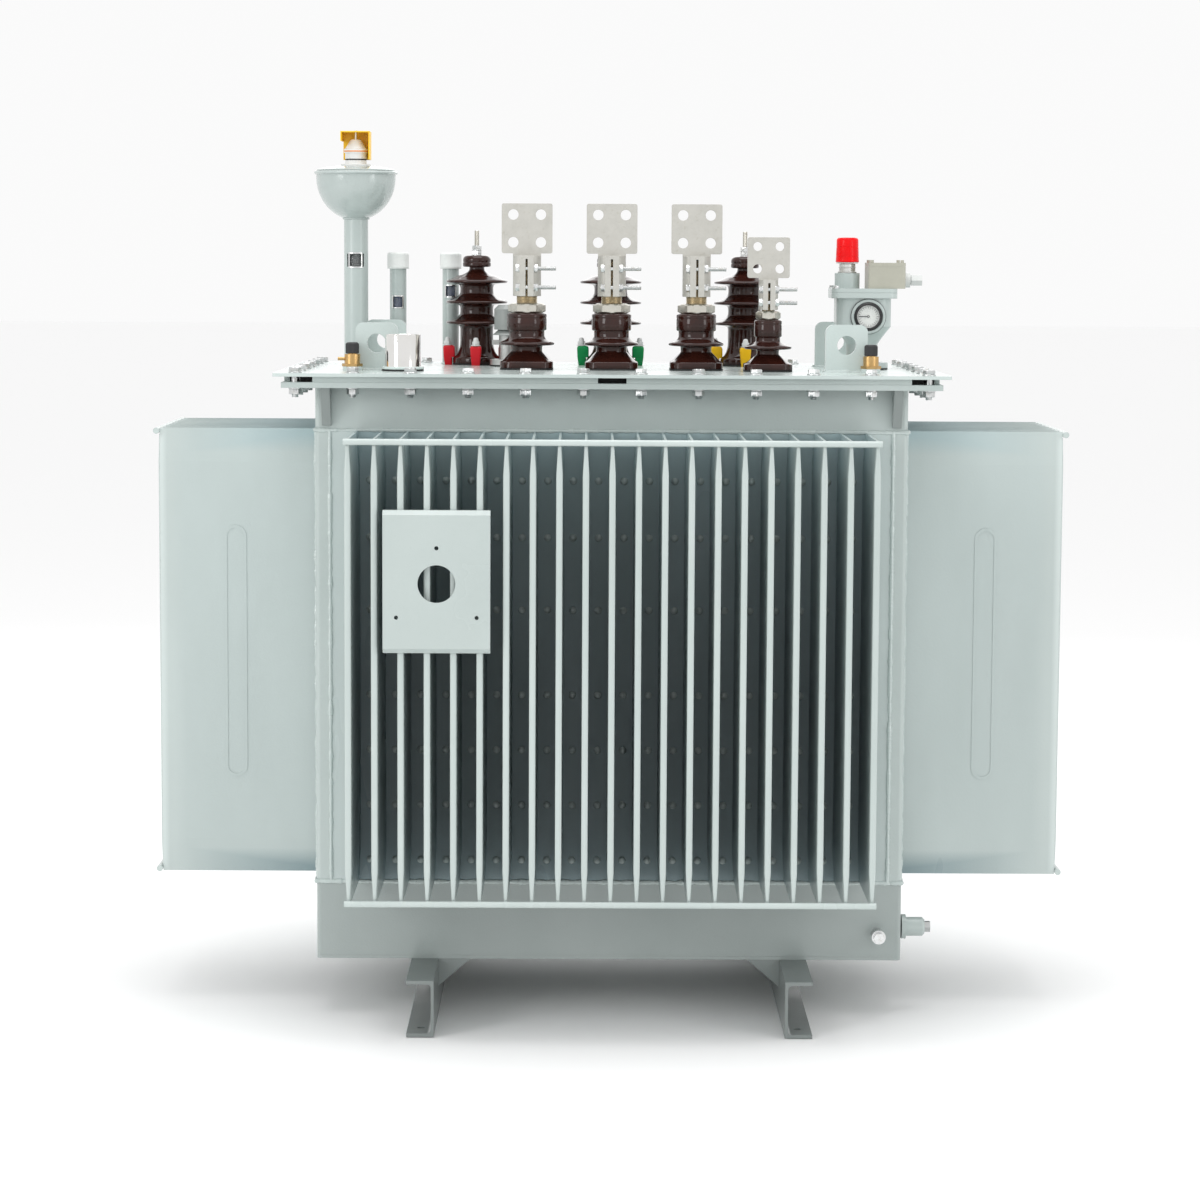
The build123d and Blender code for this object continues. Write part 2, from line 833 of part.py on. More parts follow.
with BuildPart() as bowl_lid:
    with BuildSketch(upright(filler_x, filler_y, z_lid)):
        with BuildLine():
            Polyline(
                (0, 0),
                (plug_r - lid_plug_wall, 0),
                (plug_r - lid_plug_wall, -lid_plug_h),
                (plug_r, -lid_plug_h),
                (plug_r, 0),
                (lid_r, 0),
                (lid_r, lid_t),
                (lid_flat_r, lid_t + lid_dome),
                (0, lid_t + lid_dome),
                close=True,
            )
        make_face()
    revolve(axis=filler_axis)
save(bowl_lid, "bowl_lid")

valve_h = valve_base_h + valve_body_h + valve_band_h + valve_cone_h
with BuildPart() as relief_valve:
    with BuildSketch(upright(filler_x, filler_y, z_lid_top)):
        with BuildLine():
            Polyline(
                (0, 0),
                (valve_base_r, 0),
                (valve_base_r, valve_base_h),
                (valve_body_r, valve_base_h),
                (valve_body_r, valve_base_h + valve_body_h),
                (valve_band_r, valve_base_h + valve_body_h),
                (valve_band_r, valve_h - valve_cone_h),
                (valve_cone_r, valve_h),
                (valve_bore_r, valve_h),
                (valve_bore_r, valve_h - pin_in),
                (0, valve_h - pin_in),
                close=True,
            )
        make_face()
    revolve(axis=filler_axis)
save(relief_valve, "relief_valve")

pin_r = valve_bore_r - joint_gap
with BuildPart() as relief_pin:
    with BuildSketch(Plane.XY.offset(z_lid_top + valve_h - pin_in + joint_gap)):
        with Locations((filler_x, filler_y)):
            Circle(pin_r)
    extrude(amount=pin_in - joint_gap + pin_out)
save(relief_pin, "relief_pin")

# The hood is open at the front and underneath, and its left side is cut short.
z_hood = z_lid_top + hood_lift
with BuildPart() as valve_hood:
    with BuildSketch(Plane.XY.offset(z_hood)):
        with Locations((filler_x, filler_y)):
            Rectangle(hood_w, hood_w)
            inner_w = hood_w - 2 * hood_wall
            Rectangle(inner_w, inner_w, mode=Mode.SUBTRACT)
        with Locations((filler_x, filler_y - hood_w / 2)):
            Rectangle(hood_w - 2 * hood_wall, 2 * hood_wall, mode=Mode.SUBTRACT)
    extrude(amount=hood_h)
    with BuildSketch(Plane.XY.offset(z_hood + hood_h)):
        with Locations((filler_x, filler_y)):
            Rectangle(hood_w, hood_w)
            Circle(valve_bore_r, mode=Mode.SUBTRACT)
    extrude(amount=hood_wall)
    with BuildSketch(Plane.YZ.offset(filler_x - hood_w / 2)):
        with Locations((filler_y, z_hood)):
            Rectangle(2 * hood_w, hood_left_cut, align=(Align.CENTER, Align.MIN))
    extrude(amount=hood_wall, mode=Mode.SUBTRACT)
    with BuildSketch(Plane.XZ.offset(-filler_y - hood_w / 2)):
        with Locations((filler_x, z_lid_top + valve_base_h)):
            foot_h = z_hood - z_lid_top - valve_base_h
            Rectangle(hood_foot_w, foot_h, align=(Align.CENTER, Align.MIN))
    extrude(amount=hood_wall)
save(valve_hood, "valve_hood")

z_window = z_top + window_z
z_float = z_window + (window_h - float_h) / 2
with BuildPart() as filler_float:
    with BuildSketch(Plane.XY.offset(z_float)):
        with Locations((filler_x, filler_y)):
            Circle(float_r)
    extrude(amount=float_h)
save(filler_float, "filler_float")

# ---------------------------------------------------------------- level tubes
with BuildPart() as level_tubes:
    with BuildSketch(Plane.XY.offset(z_top)):
        with Locations(*tube_spots):
            Circle(tube_r)
            Circle(tube_r - tube_wall, mode=Mode.SUBTRACT)
    extrude(amount=tube_h)
    for (x, y), sill in zip(tube_spots, tube_window_z):
        with BuildSketch(Plane.XZ.offset(-y)):
            with Locations((x, z_top + sill + tube_window_h / 2)):
                Rectangle(tube_window_w, tube_window_h)
        extrude(amount=tube_r, mode=Mode.SUBTRACT)
save(level_tubes, "level_tubes")

tube_glass_r = tube_r - tube_wall
tube_insert_r = tube_glass_r - slip - glass_t - joint_gap
with BuildPart() as tube_inserts:
    for (x, y), sill in zip(tube_spots, tube_window_z):
        low = z_top + sill + tube_window_h / 2 - tube_insert_h / 2
        with BuildSketch(Plane.XY.offset(low)):
            with Locations((x, y)):
                Circle(tube_insert_r)
        extrude(amount=tube_insert_h)
save(tube_inserts, "tube_inserts")

for label, spot in zip(("tube_cap_left", "tube_cap_right"), tube_spots):
    with BuildPart() as tube_cap:
        with BuildSketch(Plane.XY.offset(z_top + tube_cap_z)):
            with Locations(spot):
                Circle(tube_cap_r)
        extrude(amount=tube_cap_h)
        top = tube_cap.edges().sort_by(Axis.Z)[-1]
        fillet(top, tube_cap_wall)
        with BuildSketch(Plane.XY.offset(z_top + tube_cap_z)):
            with Locations(spot):
                Circle(tube_r + joint_gap)
        extrude(amount=tube_cap_h - tube_cap_wall, mode=Mode.SUBTRACT)
    save(tube_cap, label)

# ---------------------------------------------------------------- vent cylinder and pockets
z_seat = z_top + seal_t
with BuildPart() as vent_cylinder:
    with BuildSketch(Plane.XY.offset(z_seat)):
        with Locations((vent_x, vent_y)):
            Circle(vent_flange_r)
    extrude(amount=vent_flange_t)
    with BuildSketch(Plane.XY.offset(z_seat + vent_flange_t)):
        with Locations((vent_x, vent_y)):
            Circle(vent_r)
    extrude(amount=vent_h)
    crown = vent_cylinder.edges().sort_by(Axis.Z)[-1]
    fillet(crown, vent_wall)
    with BuildSketch(Plane.XY.offset(z_seat)):
        with Locations((vent_x, vent_y)):
            Circle(vent_r - vent_wall)
    extrude(amount=vent_flange_t + vent_h - vent_wall, mode=Mode.SUBTRACT)
save(vent_cylinder, "vent_cylinder")

z_pocket = z_top + pocket_boss_h
z_pocket_body = z_pocket + pocket_hex_h
z_pocket_neck = z_pocket_body + pocket_body_h
with BuildPart() as pocket_bodies:
    with BuildSketch(Plane.XY.offset(z_pocket)):
        with Locations(*pocket_spots):
            RegularPolygon(hexagon(pocket_af), 6)
    extrude(amount=pocket_hex_h)
    with BuildSketch(Plane.XY.offset(z_pocket_body)):
        with Locations(*pocket_spots):
            Circle(pocket_body_r)
    extrude(amount=pocket_body_h)
    with BuildSketch(Plane.XY.offset(z_pocket_neck)):
        with Locations(*pocket_spots):
            Circle(pocket_neck_r)
    extrude(amount=pocket_neck_h)
    with BuildSketch(Plane.XY.offset(z_pocket)):
        with Locations(*pocket_spots):
            Circle(pocket_stem_r)
    extrude(amount=-pocket_stem_h)
    with BuildSketch(Plane.YZ.offset(-pocket_x - pocket_body_r - pocket_screw_out)):
        with Locations((pocket_y, z_pocket_body + pocket_body_h / 2)):
            Circle(pocket_screw_r)
    extrude(amount=pocket_screw_out + pocket_body_r)
save(pocket_bodies, "pocket_bodies")

for label, spot in zip(("pocket_cap_left", "pocket_cap_right"), pocket_spots):
    z_low = z_pocket_neck + pocket_cap_z
    with BuildPart() as pocket_cap:
        with BuildSketch(Plane.XY.offset(z_low)):
            with Locations(spot):
                Circle(pocket_cap_r)
        extrude(amount=pocket_cap_h)
        rim = pocket_cap.edges().sort_by(Axis.Z)[-1]
        fillet(rim, pocket_cap_round)
        with BuildSketch(Plane.XY.offset(z_low)):
            with Locations(spot):
                Circle(pocket_neck_r + joint_gap)
        extrude(amount=pocket_neck_h - pocket_cap_z + joint_gap, mode=Mode.SUBTRACT)
    save(pocket_cap, label)

# ---------------------------------------------------------------- protection relay
relay_spot = (relay_x, relay_y)
z_relay_neck = z_seat + relay_foot_h
z_relay_cone = z_relay_neck + relay_neck_h
z_relay_body = z_relay_cone + relay_cone_h
z_relay_rim = z_relay_body + relay_body_h
z_relay_head = z_relay_rim + relay_rim_h
cavity_w = relay_body_w - 2 * relay_wall
cavity_d = relay_body_d - 2 * relay_wall
cavity_r = relay_body_r - relay_wall

with BuildPart() as relay_body:
    with BuildSketch(Plane.XY.offset(z_seat)):
        with Locations(relay_spot):
            Circle(relay_foot_r)
    extrude(amount=relay_foot_h)
    with BuildSketch(Plane.XY.offset(z_relay_neck)):
        with Locations(relay_spot):
            Circle(relay_neck_r)
    extrude(amount=relay_neck_h)
    with BuildSketch(Plane.XY.offset(z_relay_cone)):
        with Locations(relay_spot):
            Circle(relay_neck_r)
    with BuildSketch(Plane.XY.offset(z_relay_body)):
        with Locations(relay_spot):
            RectangleRounded(relay_body_w, relay_body_d, relay_body_r)
    loft()
    with BuildSketch(Plane.XY.offset(z_relay_body)):
        with Locations(relay_spot):
            RectangleRounded(relay_body_w, relay_body_d, relay_body_r)
    extrude(amount=relay_body_h)
    with BuildSketch(Plane.XY.offset(z_relay_rim)):
        with Locations(relay_spot):
            RectangleRounded(relay_rim_w, relay_rim_d, relay_rim_r)
    extrude(amount=relay_rim_h)
    with BuildSketch(Plane.XY.offset(z_relay_body)):
        with Locations(relay_spot):
            RectangleRounded(cavity_w, cavity_d, cavity_r)
    extrude(amount=relay_body_h + relay_rim_h, mode=Mode.SUBTRACT)
    with BuildSketch(Plane.XY.offset(z_seat)):
        with Locations(relay_spot):
            Circle(relay_neck_r - relay_wall)
    extrude(amount=z_relay_body - z_seat, mode=Mode.SUBTRACT)
save(relay_body, "relay_body")

z_tower = z_relay_head + relay_plate_h
z_relay_valve = z_tower + tower_h
tower_spot = (relay_x + tower_dx, relay_y)
with BuildPart() as relay_head:
    with BuildSketch(Plane.XY.offset(z_relay_head)):
        with Locations(relay_spot):
            RectangleRounded(relay_rim_w, relay_rim_d, relay_rim_r)
    extrude(amount=relay_plate_h)
    with BuildSketch(Plane.XY.offset(z_tower)):
        with Locations(tower_spot):
            Circle(tower_r)
    extrude(amount=tower_h)
save(relay_head, "relay_head")

with BuildPart() as relay_valve:
    with BuildSketch(Plane.XY.offset(z_relay_valve)):
        with Locations(tower_spot):
            Circle(tower_neck_r)
    extrude(amount=tower_neck_h)
    with BuildSketch(Plane.XY.offset(z_relay_valve + tower_neck_h)):
        with Locations(tower_spot):
            Circle(relay_stem_r)
    extrude(amount=relay_stem_h)
save(relay_valve, "relay_valve")

z_cap = z_relay_valve + tower_neck_h + cap_gap
with BuildPart() as relay_cap:
    with BuildSketch(upright(*tower_spot, z_cap)):
        with BuildLine():
            Polyline(
                (relay_stem_r + joint_gap, 0),
                (cap_r, 0),
                (cap_top_r, cap_h - cap_round),
                (cap_top_r - cap_round, cap_h),
                (0, cap_h),
                (0, relay_stem_h - cap_gap + joint_gap),
                (relay_stem_r + joint_gap, relay_stem_h - cap_gap + joint_gap),
                close=True,
            )
        make_face()
    revolve(axis=vertical(*tower_spot))
save(relay_cap, "relay_cap")

# The terminal box has a separate lid, held by a screw at each corner.
box_spot = (relay_x + box_dx, relay_y)
z_box_lid = z_tower + box_h + slip
gland_plane = Plane(
    origin=(relay_x + box_dx + box_w / 2, relay_y, z_tower + gland_z), x_dir=(0, 1, 0), z_dir=(1, 0, 0)
)
with BuildPart() as terminal_box:
    with BuildSketch(Plane.XY.offset(z_tower)):
        with Locations(box_spot):
            RectangleRounded(box_w, box_d, box_corner_r)
    extrude(amount=box_h)
    with BuildSketch(Plane.XY.offset(z_tower + box_wall)):
        with Locations(box_spot):
            Rectangle(box_w - 2 * box_wall, box_d - 2 * box_wall)
    extrude(amount=box_h, mode=Mode.SUBTRACT)
    with Locations(gland_plane):
        Hole(gland_bore_r, depth=box_wall)
    with BuildSketch(Plane.XY.offset(z_box_lid)):
        with Locations(box_spot):
            RectangleRounded(box_w, box_d, box_corner_r)
    extrude(amount=box_lid_h)
    with BuildSketch(Plane.XY.offset(z_box_lid + box_lid_h)):
        with Locations(box_spot):
            with GridLocations(box_w - 4 * box_screw_r, box_d - 4 * box_screw_r, 2, 2):
                Circle(box_screw_r)
    extrude(amount=box_screw_h)
save(terminal_box, "terminal_box")

with BuildPart() as cable_gland:
    with BuildSketch(gland_plane):
        Circle(gland_r)
        Circle(gland_bore_r, mode=Mode.SUBTRACT)
    extrude(amount=gland_flange)
    with BuildSketch(gland_plane.offset(gland_flange)):
        Circle(gland_stem_r)
        Circle(gland_bore_r, mode=Mode.SUBTRACT)
    extrude(amount=gland_stem)
save(cable_gland, "cable_gland")

gland_nut_start = gland_flange + gland_nut_gap
with BuildPart() as gland_nut:
    with BuildSketch(gland_plane.offset(gland_nut_start)):
        RegularPolygon(hexagon(gland_nut_af), 6)
        Circle(gland_bore_r, mode=Mode.SUBTRACT)
    extrude(amount=gland_nut_l)
    with BuildSketch(gland_plane.offset(gland_nut_start)):
        Circle(gland_stem_r + joint_gap)
    extrude(amount=gland_stem - gland_nut_gap + joint_gap, mode=Mode.SUBTRACT)
save(gland_nut, "gland_nut")

dial_plane = Plane(
    origin=(relay_x + dial_dx, relay_y - relay_body_d / 2, z_relay_rim + dial_dz),
    x_dir=(1, 0, 0),
    z_dir=(0, -1, 0),
)
with BuildPart() as relay_dial:
    with BuildSketch(dial_plane):
        Circle(dial_bezel_r)
    extrude(amount=dial_ring_t)
    with BuildSketch(dial_plane.offset(dial_ring_t)):
        Circle(dial_ring_r)
    extrude(amount=dial_depth - dial_ring_t)
    with BuildSketch(dial_plane.offset(dial_back_t)):
        Circle(dial_face_r)
        Circle(dial_pivot_r, mode=Mode.SUBTRACT)
    extrude(amount=dial_depth, mode=Mode.SUBTRACT)
    with BuildSketch(dial_plane.offset(dial_back_t + dial_pivot_l)):
        Circle(dial_face_r)
    extrude(amount=dial_depth, mode=Mode.SUBTRACT)
save(relay_dial, "relay_dial")

# The needle lies to the left at rest and turns on a pin in the dial's middle.
with BuildPart() as relay_needle:
    with BuildSketch(dial_plane.offset(dial_back_t + needle_lift)):
        Circle(needle_hub_r)
        Rectangle(needle_l, needle_w, align=(Align.MAX, Align.CENTER))
        Circle(dial_pivot_r + needle_slack, mode=Mode.SUBTRACT)
    extrude(amount=needle_t)
save(relay_needle, "relay_needle")

# ---------------------------------------------------------------- glasses and seals
glass_outer = filler_r - filler_wall - slip
with BuildPart() as sight_glasses:
    with BuildSketch(Plane.XY.offset(z_window - tube_glass_lap)):
        with Locations((filler_x, filler_y)):
            Circle(glass_outer)
            Circle(glass_outer - glass_t, mode=Mode.SUBTRACT)
    extrude(amount=window_h + 2 * tube_glass_lap)
    for spot, sill in zip(tube_spots, tube_window_z):
        with BuildSketch(Plane.XY.offset(z_top + sill - tube_glass_lap)):
            with Locations(spot):
                Circle(tube_glass_r - slip)
                Circle(tube_glass_r - slip - glass_t, mode=Mode.SUBTRACT)
        extrude(amount=tube_window_h + 2 * tube_glass_lap)
    with BuildSketch(dial_plane.offset(dial_depth - 2 * glass_t)):
        Circle(dial_face_r - slip)
    extrude(amount=glass_t)
save(sight_glasses, "sight_glasses")

round_seals = [(spot, hv_foot_r, hv_tail_r + tail_gap) for spot in hv_spots]
round_seals += [((vent_x, vent_y), vent_flange_r, vent_r - vent_wall)]
round_seals += [(relay_spot, relay_foot_r, relay_neck_r - relay_wall)]
round_seals += [((tap_x, tap_y), tap_base_r, tap_stem_r + slip)]
square_seals = [(spot, phase_size) for spot in lv_spots] + [(neutral_spot, neutral_size)]

with BuildPart() as cover_seals:
    with BuildSketch(Plane.XY.offset(z_top)):
        for spot, outer_r, inner in round_seals:
            with Locations(spot):
                Circle(outer_r)
                Circle(inner, mode=Mode.SUBTRACT)
        for spot, size in square_seals:
            with Locations(spot):
                RectangleRounded(size["base_w"], size["base_w"], size["base_corner"])
                Circle(size["tail_r"] + tail_gap, mode=Mode.SUBTRACT)
    extrude(amount=seal_t)
    with BuildSketch(drain_plane):
        Circle(drain_seal_r)
        Circle(drain_bore_r, mode=Mode.SUBTRACT)
    extrude(amount=seal_t)
save(cover_seals, "cover_seals")

# ---------------------------------------------------------------- high-voltage bushings
z_hv_top = z_seat + hv_body_h
below_seat = seal_t + cover_t


def hv_outline():
    """Right-hand half of a glazed bushing: tail, foot, flare, sheds, stalk and cap."""
    bore = hv_stud_r + slip
    flare_top = hv_foot_rim + hv_flare_h
    points = [
        (bore, -below_seat - hv_tail_h),
        (hv_tail_r, -below_seat - hv_tail_h),
        (hv_tail_r, 0),
        (hv_foot_r, 0),
        (hv_foot_r, hv_foot_rim),
        (hv_core_r, flare_top),
    ]
    for i in range(hv_shed_count):
        tip = hv_first_shed + i * hv_shed_pitch
        last = i == hv_shed_count - 1
        points += [
            (hv_core_r, tip - hv_shed_drip),
            (hv_shed_r, tip - hv_shed_edge / 2),
            (hv_shed_r, tip + hv_shed_edge / 2),
            (hv_stalk_r if last else hv_core_r, tip + hv_shed_top),
        ]
    points += [
        (hv_stalk_r, hv_body_h - hv_cap_h),
        (hv_cap_r, hv_body_h - hv_cap_h),
        (hv_cap_r, hv_body_h - hv_cap_bevel),
        (hv_cap_r - hv_cap_bevel, hv_body_h),
        (bore, hv_body_h),
    ]
    return points


with BuildPart() as hv_porcelains:
    for spot in hv_spots:
        with BuildSketch(upright(*spot, z_seat)):
            with BuildLine():
                Polyline(*hv_outline(), close=True)
            make_face()
        revolve(axis=vertical(*spot))
save(hv_porcelains, "hv_porcelains")

with BuildPart() as hv_terminals:
    with BuildSketch(Plane.XY.offset(z_seat - below_seat - hv_tail_h - lead_tail)):
        with Locations(*hv_spots):
            Circle(hv_stud_r)
    extrude(amount=lead_tail + hv_tail_h + below_seat + hv_body_h + hv_stud_out)
    for i in range(hv_nuts):
        with BuildSketch(Plane.XY.offset(z_hv_top + i * (hv_nut_h + hv_nut_gap))):
            with Locations(*hv_spots):
                RegularPolygon(hexagon(hv_nut_af), 6)
        extrude(amount=hv_nut_h)
save(hv_terminals, "hv_terminals")

# Four booted dogs grip each bushing's foot; a stud and nut holds each one down.
dog_in = hv_foot_r + dog_gap
dog_out = dog_in + dog_wall
dog_stud_at = (dog_in + dog_out) / 2
dog_angles = [i * 2 * pi / hv_dogs for i in range(hv_dogs)]
dog_offsets = [(dog_stud_at * cos(angle), dog_stud_at * sin(angle)) for angle in dog_angles]
dog_spots = [(x + dx, y + dy) for x, y in hv_spots for dx, dy in dog_offsets]
with BuildPart() as hv_dogs_part:
    for x, y in hv_spots:
        for angle in dog_angles:
            outward = (cos(angle), sin(angle), 0)
            with BuildSketch(Plane(origin=(x, y, z_top), x_dir=outward, z_dir=(sin(angle), -cos(angle), 0))):
                with BuildLine():
                    Polyline(
                        (dog_in, 0),
                        (dog_out, 0),
                        (dog_out, dog_h),
                        (hv_foot_r - dog_lap, dog_h),
                        (hv_foot_r - dog_lap, dog_h - dog_arm),
                        (dog_in, dog_h - dog_arm),
                        close=True,
                    )
                make_face()
            extrude(amount=dog_w / 2, both=True)
    with BuildSketch(Plane.XY.offset(z_top)):
        with Locations(*dog_spots):
            Circle(dog_stud_r + slip)
    extrude(amount=dog_h, mode=Mode.SUBTRACT)
save(hv_dogs_part, "hv_dogs")

# ---------------------------------------------------------------- low-voltage bushings
def lv_outline(size):
    """Right-hand half of a low-voltage bushing above its square base."""
    shed_low = size["base_h"] + size["waist_h"]
    neck_low = shed_low + size["shed_h"]
    barrel_low = neck_low + size["neck_h"]
    return [
        (0, size["base_h"]),
        (size["waist_r"], size["base_h"]),
        (size["waist_r"], shed_low - lv_shed_edge),
        (size["shed_r"], shed_low),
        (size["shed_r"], shed_low + lv_shed_edge),
        (size["neck_r"], neck_low),
        (size["neck_r"], barrel_low),
        (size["barrel_r"], barrel_low),
        (size["barrel_r"], barrel_low + size["barrel_h"]),
        (0, barrel_low + size["barrel_h"]),
    ]


def body_height(size):
    """From the seal to the top of the barrel."""
    return sum(size[part] for part in ("base_h", "waist_h", "shed_h", "neck_h", "barrel_h"))


with BuildPart() as lv_porcelains:
    for spot, size in square_seals:
        z_tail = z_seat - below_seat - size["tail_h"]
        with BuildSketch(Plane.XY.offset(z_seat)):
            with Locations(spot):
                RectangleRounded(size["base_w"], size["base_w"], size["base_corner"])
        extrude(amount=size["base_rim"])
        with BuildSketch(Plane.XY.offset(z_seat + size["base_rim"])):
            with Locations(spot):
                RectangleRounded(size["base_w"], size["base_w"], size["base_corner"])
        with BuildSketch(Plane.XY.offset(z_seat + size["base_h"])):
            with Locations(spot):
                Circle(size["waist_r"])
        loft()
        with BuildSketch(upright(*spot, z_seat)):
            with BuildLine():
                Polyline(*lv_outline(size), close=True)
            make_face()
        revolve(axis=vertical(*spot))
        with BuildSketch(Plane.XY.offset(z_tail)):
            with Locations(spot):
                Circle(size["tail_r"])
        extrude(amount=z_seat - z_tail)
        with BuildSketch(Plane.XY.offset(z_tail)):
            with Locations(spot):
                Circle(size["stud_r"] + slip)
        extrude(amount=z_seat + body_height(size) - z_tail, mode=Mode.SUBTRACT)
save(lv_porcelains, "lv_porcelains")

palm_sets = [(spot, phase_size, phase_palm) for spot in lv_spots]
palm_sets += [(neutral_spot, neutral_size, neutral_palm)]

with BuildPart() as lv_terminals:
    for spot, size, palm in palm_sets:
        z_low = z_seat - below_seat - size["tail_h"] - lead_tail
        z_nut = z_seat + body_height(size)
        z_sleeve = z_nut + size["nut_h"] + size["stud_bare"]
        with BuildSketch(Plane.XY.offset(z_low)):
            with Locations(spot):
                Circle(size["stud_r"])
        extrude(amount=z_sleeve + palm["sleeve_h"] - palm_crown - slip - z_low)
        with BuildSketch(Plane.XY.offset(z_nut)):
            with Locations(spot):
                RegularPolygon(hexagon(size["nut_af"]), 6)
        extrude(amount=size["nut_h"])
save(lv_terminals, "lv_terminals")

with BuildPart() as lv_palms:
    for (x, y), size, palm in palm_sets:
        z_sleeve = z_seat + body_height(size) + size["nut_h"] + size["stud_bare"]
        z_crown = z_sleeve + palm["sleeve_h"]
        z_palm = z_crown + palm["rise"]
        ear_reach = palm["sleeve_r"] + palm["ear_y"]
        with BuildSketch(Plane.XY.offset(z_sleeve)):
            with Locations((x, y)):
                Circle(palm["sleeve_r"])
                ears_w = 2 * palm["ear_x"] + palm_slit
                Rectangle(ears_w, ear_reach, align=(Align.CENTER, Align.MAX))
        extrude(amount=palm["sleeve_h"])
        with BuildSketch(Plane.XY.offset(z_sleeve)):
            with Locations((x, y)):
                Circle(size["stud_r"] + slip)
                Rectangle(palm_slit, ear_reach, align=(Align.CENTER, Align.MAX))
        extrude(amount=palm["sleeve_h"] - palm_crown, mode=Mode.SUBTRACT)
        with BuildSketch(Plane.XZ.offset(-y)):
            with Locations((x, z_palm + palm["h"] / 2)):
                RectangleRounded(palm["w"], palm["h"], palm_corner_r)
            with Locations((x, z_crown)):
                Rectangle(2 * palm["sleeve_r"], palm["rise"], align=(Align.CENTER, Align.MIN))
            with Locations((x, z_palm + palm["h"] / 2)):
                with GridLocations(palm["pitch"], palm["pitch"], 2, 2):
                    Circle(palm["hole_r"], mode=Mode.SUBTRACT)
        extrude(amount=palm_t / 2, both=True)
        with BuildSketch(Plane.YZ.offset(x)):
            for i in (0, 1):
                bolt_z = z_crown - palm["bolt_drop"] - i * palm["bolt_gap"]
                with Locations((y - palm["sleeve_r"] - palm["ear_y"] / 2, bolt_z)):
                    Circle(palm_bolt_r + slip)
        extrude(amount=palm["sleeve_r"], both=True, mode=Mode.SUBTRACT)
save(lv_palms, "lv_palms")

with BuildPart() as clamp_hardware:
    for (x, y), size, palm in palm_sets:
        z_crown = z_seat + body_height(size) + size["nut_h"] + size["stud_bare"] + palm["sleeve_h"]
        ear_face = palm["ear_x"] + palm_slit / 2
        bolt_y = y - palm["sleeve_r"] - palm["ear_y"] / 2
        bolt_zs = [z_crown - palm["bolt_drop"] - i * palm["bolt_gap"] for i in (0, 1)]
        with BuildSketch(Plane.YZ.offset(x - ear_face - palm_nut_h)):
            with Locations(*[(bolt_y, z) for z in bolt_zs]):
                Circle(palm_bolt_r)
        extrude(amount=ear_face + palm_nut_h + palm_bolt_out)
        for start in (-ear_face - palm_nut_h, ear_face):
            with BuildSketch(Plane.YZ.offset(x + start)):
                with Locations(*[(bolt_y, z) for z in bolt_zs]):
                    RegularPolygon(hexagon(palm_nut_af), 6)
            extrude(amount=palm_nut_h)
    with BuildSketch(Plane.XY.offset(z_top)):
        with Locations(*dog_spots):
            Circle(dog_stud_r)
    extrude(amount=dog_h + dog_nut_h + dog_tip)
    with BuildSketch(Plane.XY.offset(z_top + dog_h)):
        with Locations(*dog_spots):
            RegularPolygon(hexagon(dog_nut_af), 6)
    extrude(amount=dog_nut_h)
save(clamp_hardware, "clamp_hardware")

# ---------------------------------------------------------------- tap changer
z_tap_body = z_seat + tap_base_h
z_knob = z_tap_body + tap_body_h + joint_gap
with BuildPart() as tap_changer:
    with BuildSketch(Plane.XY.offset(z_seat)):
        with Locations((tap_x, tap_y)):
            Circle(tap_base_r)
    extrude(amount=tap_base_h)
    with BuildSketch(Plane.XY.offset(z_tap_body)):
        with Locations((tap_x, tap_y)):
            Circle(tap_body_r)
    extrude(amount=tap_body_h)
    with BuildSketch(Plane.XY.offset(z_knob - joint_gap)):
        with Locations((tap_x, tap_y)):
            Circle(tap_spindle_r)
    extrude(amount=tap_skirt_h + tap_knob_h / 2)
    with BuildSketch(Plane.XY.offset(z_tap_body + tap_body_h - 2 * tap_lever_h)):
        with Locations((tap_x, tap_y)):
            Rectangle(tap_lever, tap_lever_h, align=(Align.MAX, Align.CENTER))
    extrude(amount=tap_lever_h)
    with BuildSketch(Plane.XY.offset(z_seat)):
        with Locations((tap_x, tap_y)):
            Circle(tap_stem_r)
    extrude(amount=-below_seat - tap_stem_h)
save(tap_changer, "tap_changer")

with BuildPart() as tap_knob:
    with BuildSketch(upright(tap_x, tap_y, z_knob)):
        with BuildLine():
            Polyline(
                (tap_spindle_r + joint_gap, 0),
                (tap_skirt_r, 0),
                (tap_knob_r - tap_knob_round, tap_skirt_h),
                (tap_knob_r, tap_skirt_h),
                (tap_knob_r, tap_skirt_h + tap_knob_h - tap_knob_round),
                (tap_knob_r - tap_knob_round, tap_skirt_h + tap_knob_h),
                (0, tap_skirt_h + tap_knob_h),
                (0, tap_skirt_h + tap_knob_h / 2),
                (tap_spindle_r + joint_gap, tap_skirt_h + tap_knob_h / 2),
                close=True,
            )
        make_face()
    revolve(axis=vertical(tap_x, tap_y))
save(tap_knob, "tap_knob")

# ---------------------------------------------------------------- core, windings and leads
core_w = 2 * limb_pitch + limb_w
window_core_h = panel_h - core_headroom
core_h = window_core_h + 2 * yoke_h
core_top = core_z + core_h
coil_h = window_core_h - 2 * coil_end
z_coil = core_z + yoke_h + coil_end
limb_xs = [i * limb_pitch for i in (-1, 0, 1)]
limb_spots = [(limb, 0) for limb in limb_xs]

with BuildPart() as core:
    with BuildSketch(Plane.XZ):
        with Locations((0, core_z + core_h / 2)):
            Rectangle(core_w, core_h)
            with GridLocations(limb_pitch, limb_pitch, 2, 1):
                Rectangle(limb_pitch - limb_w, window_core_h, mode=Mode.SUBTRACT)
    extrude(amount=limb_d / 2, both=True)
save(core, "core")

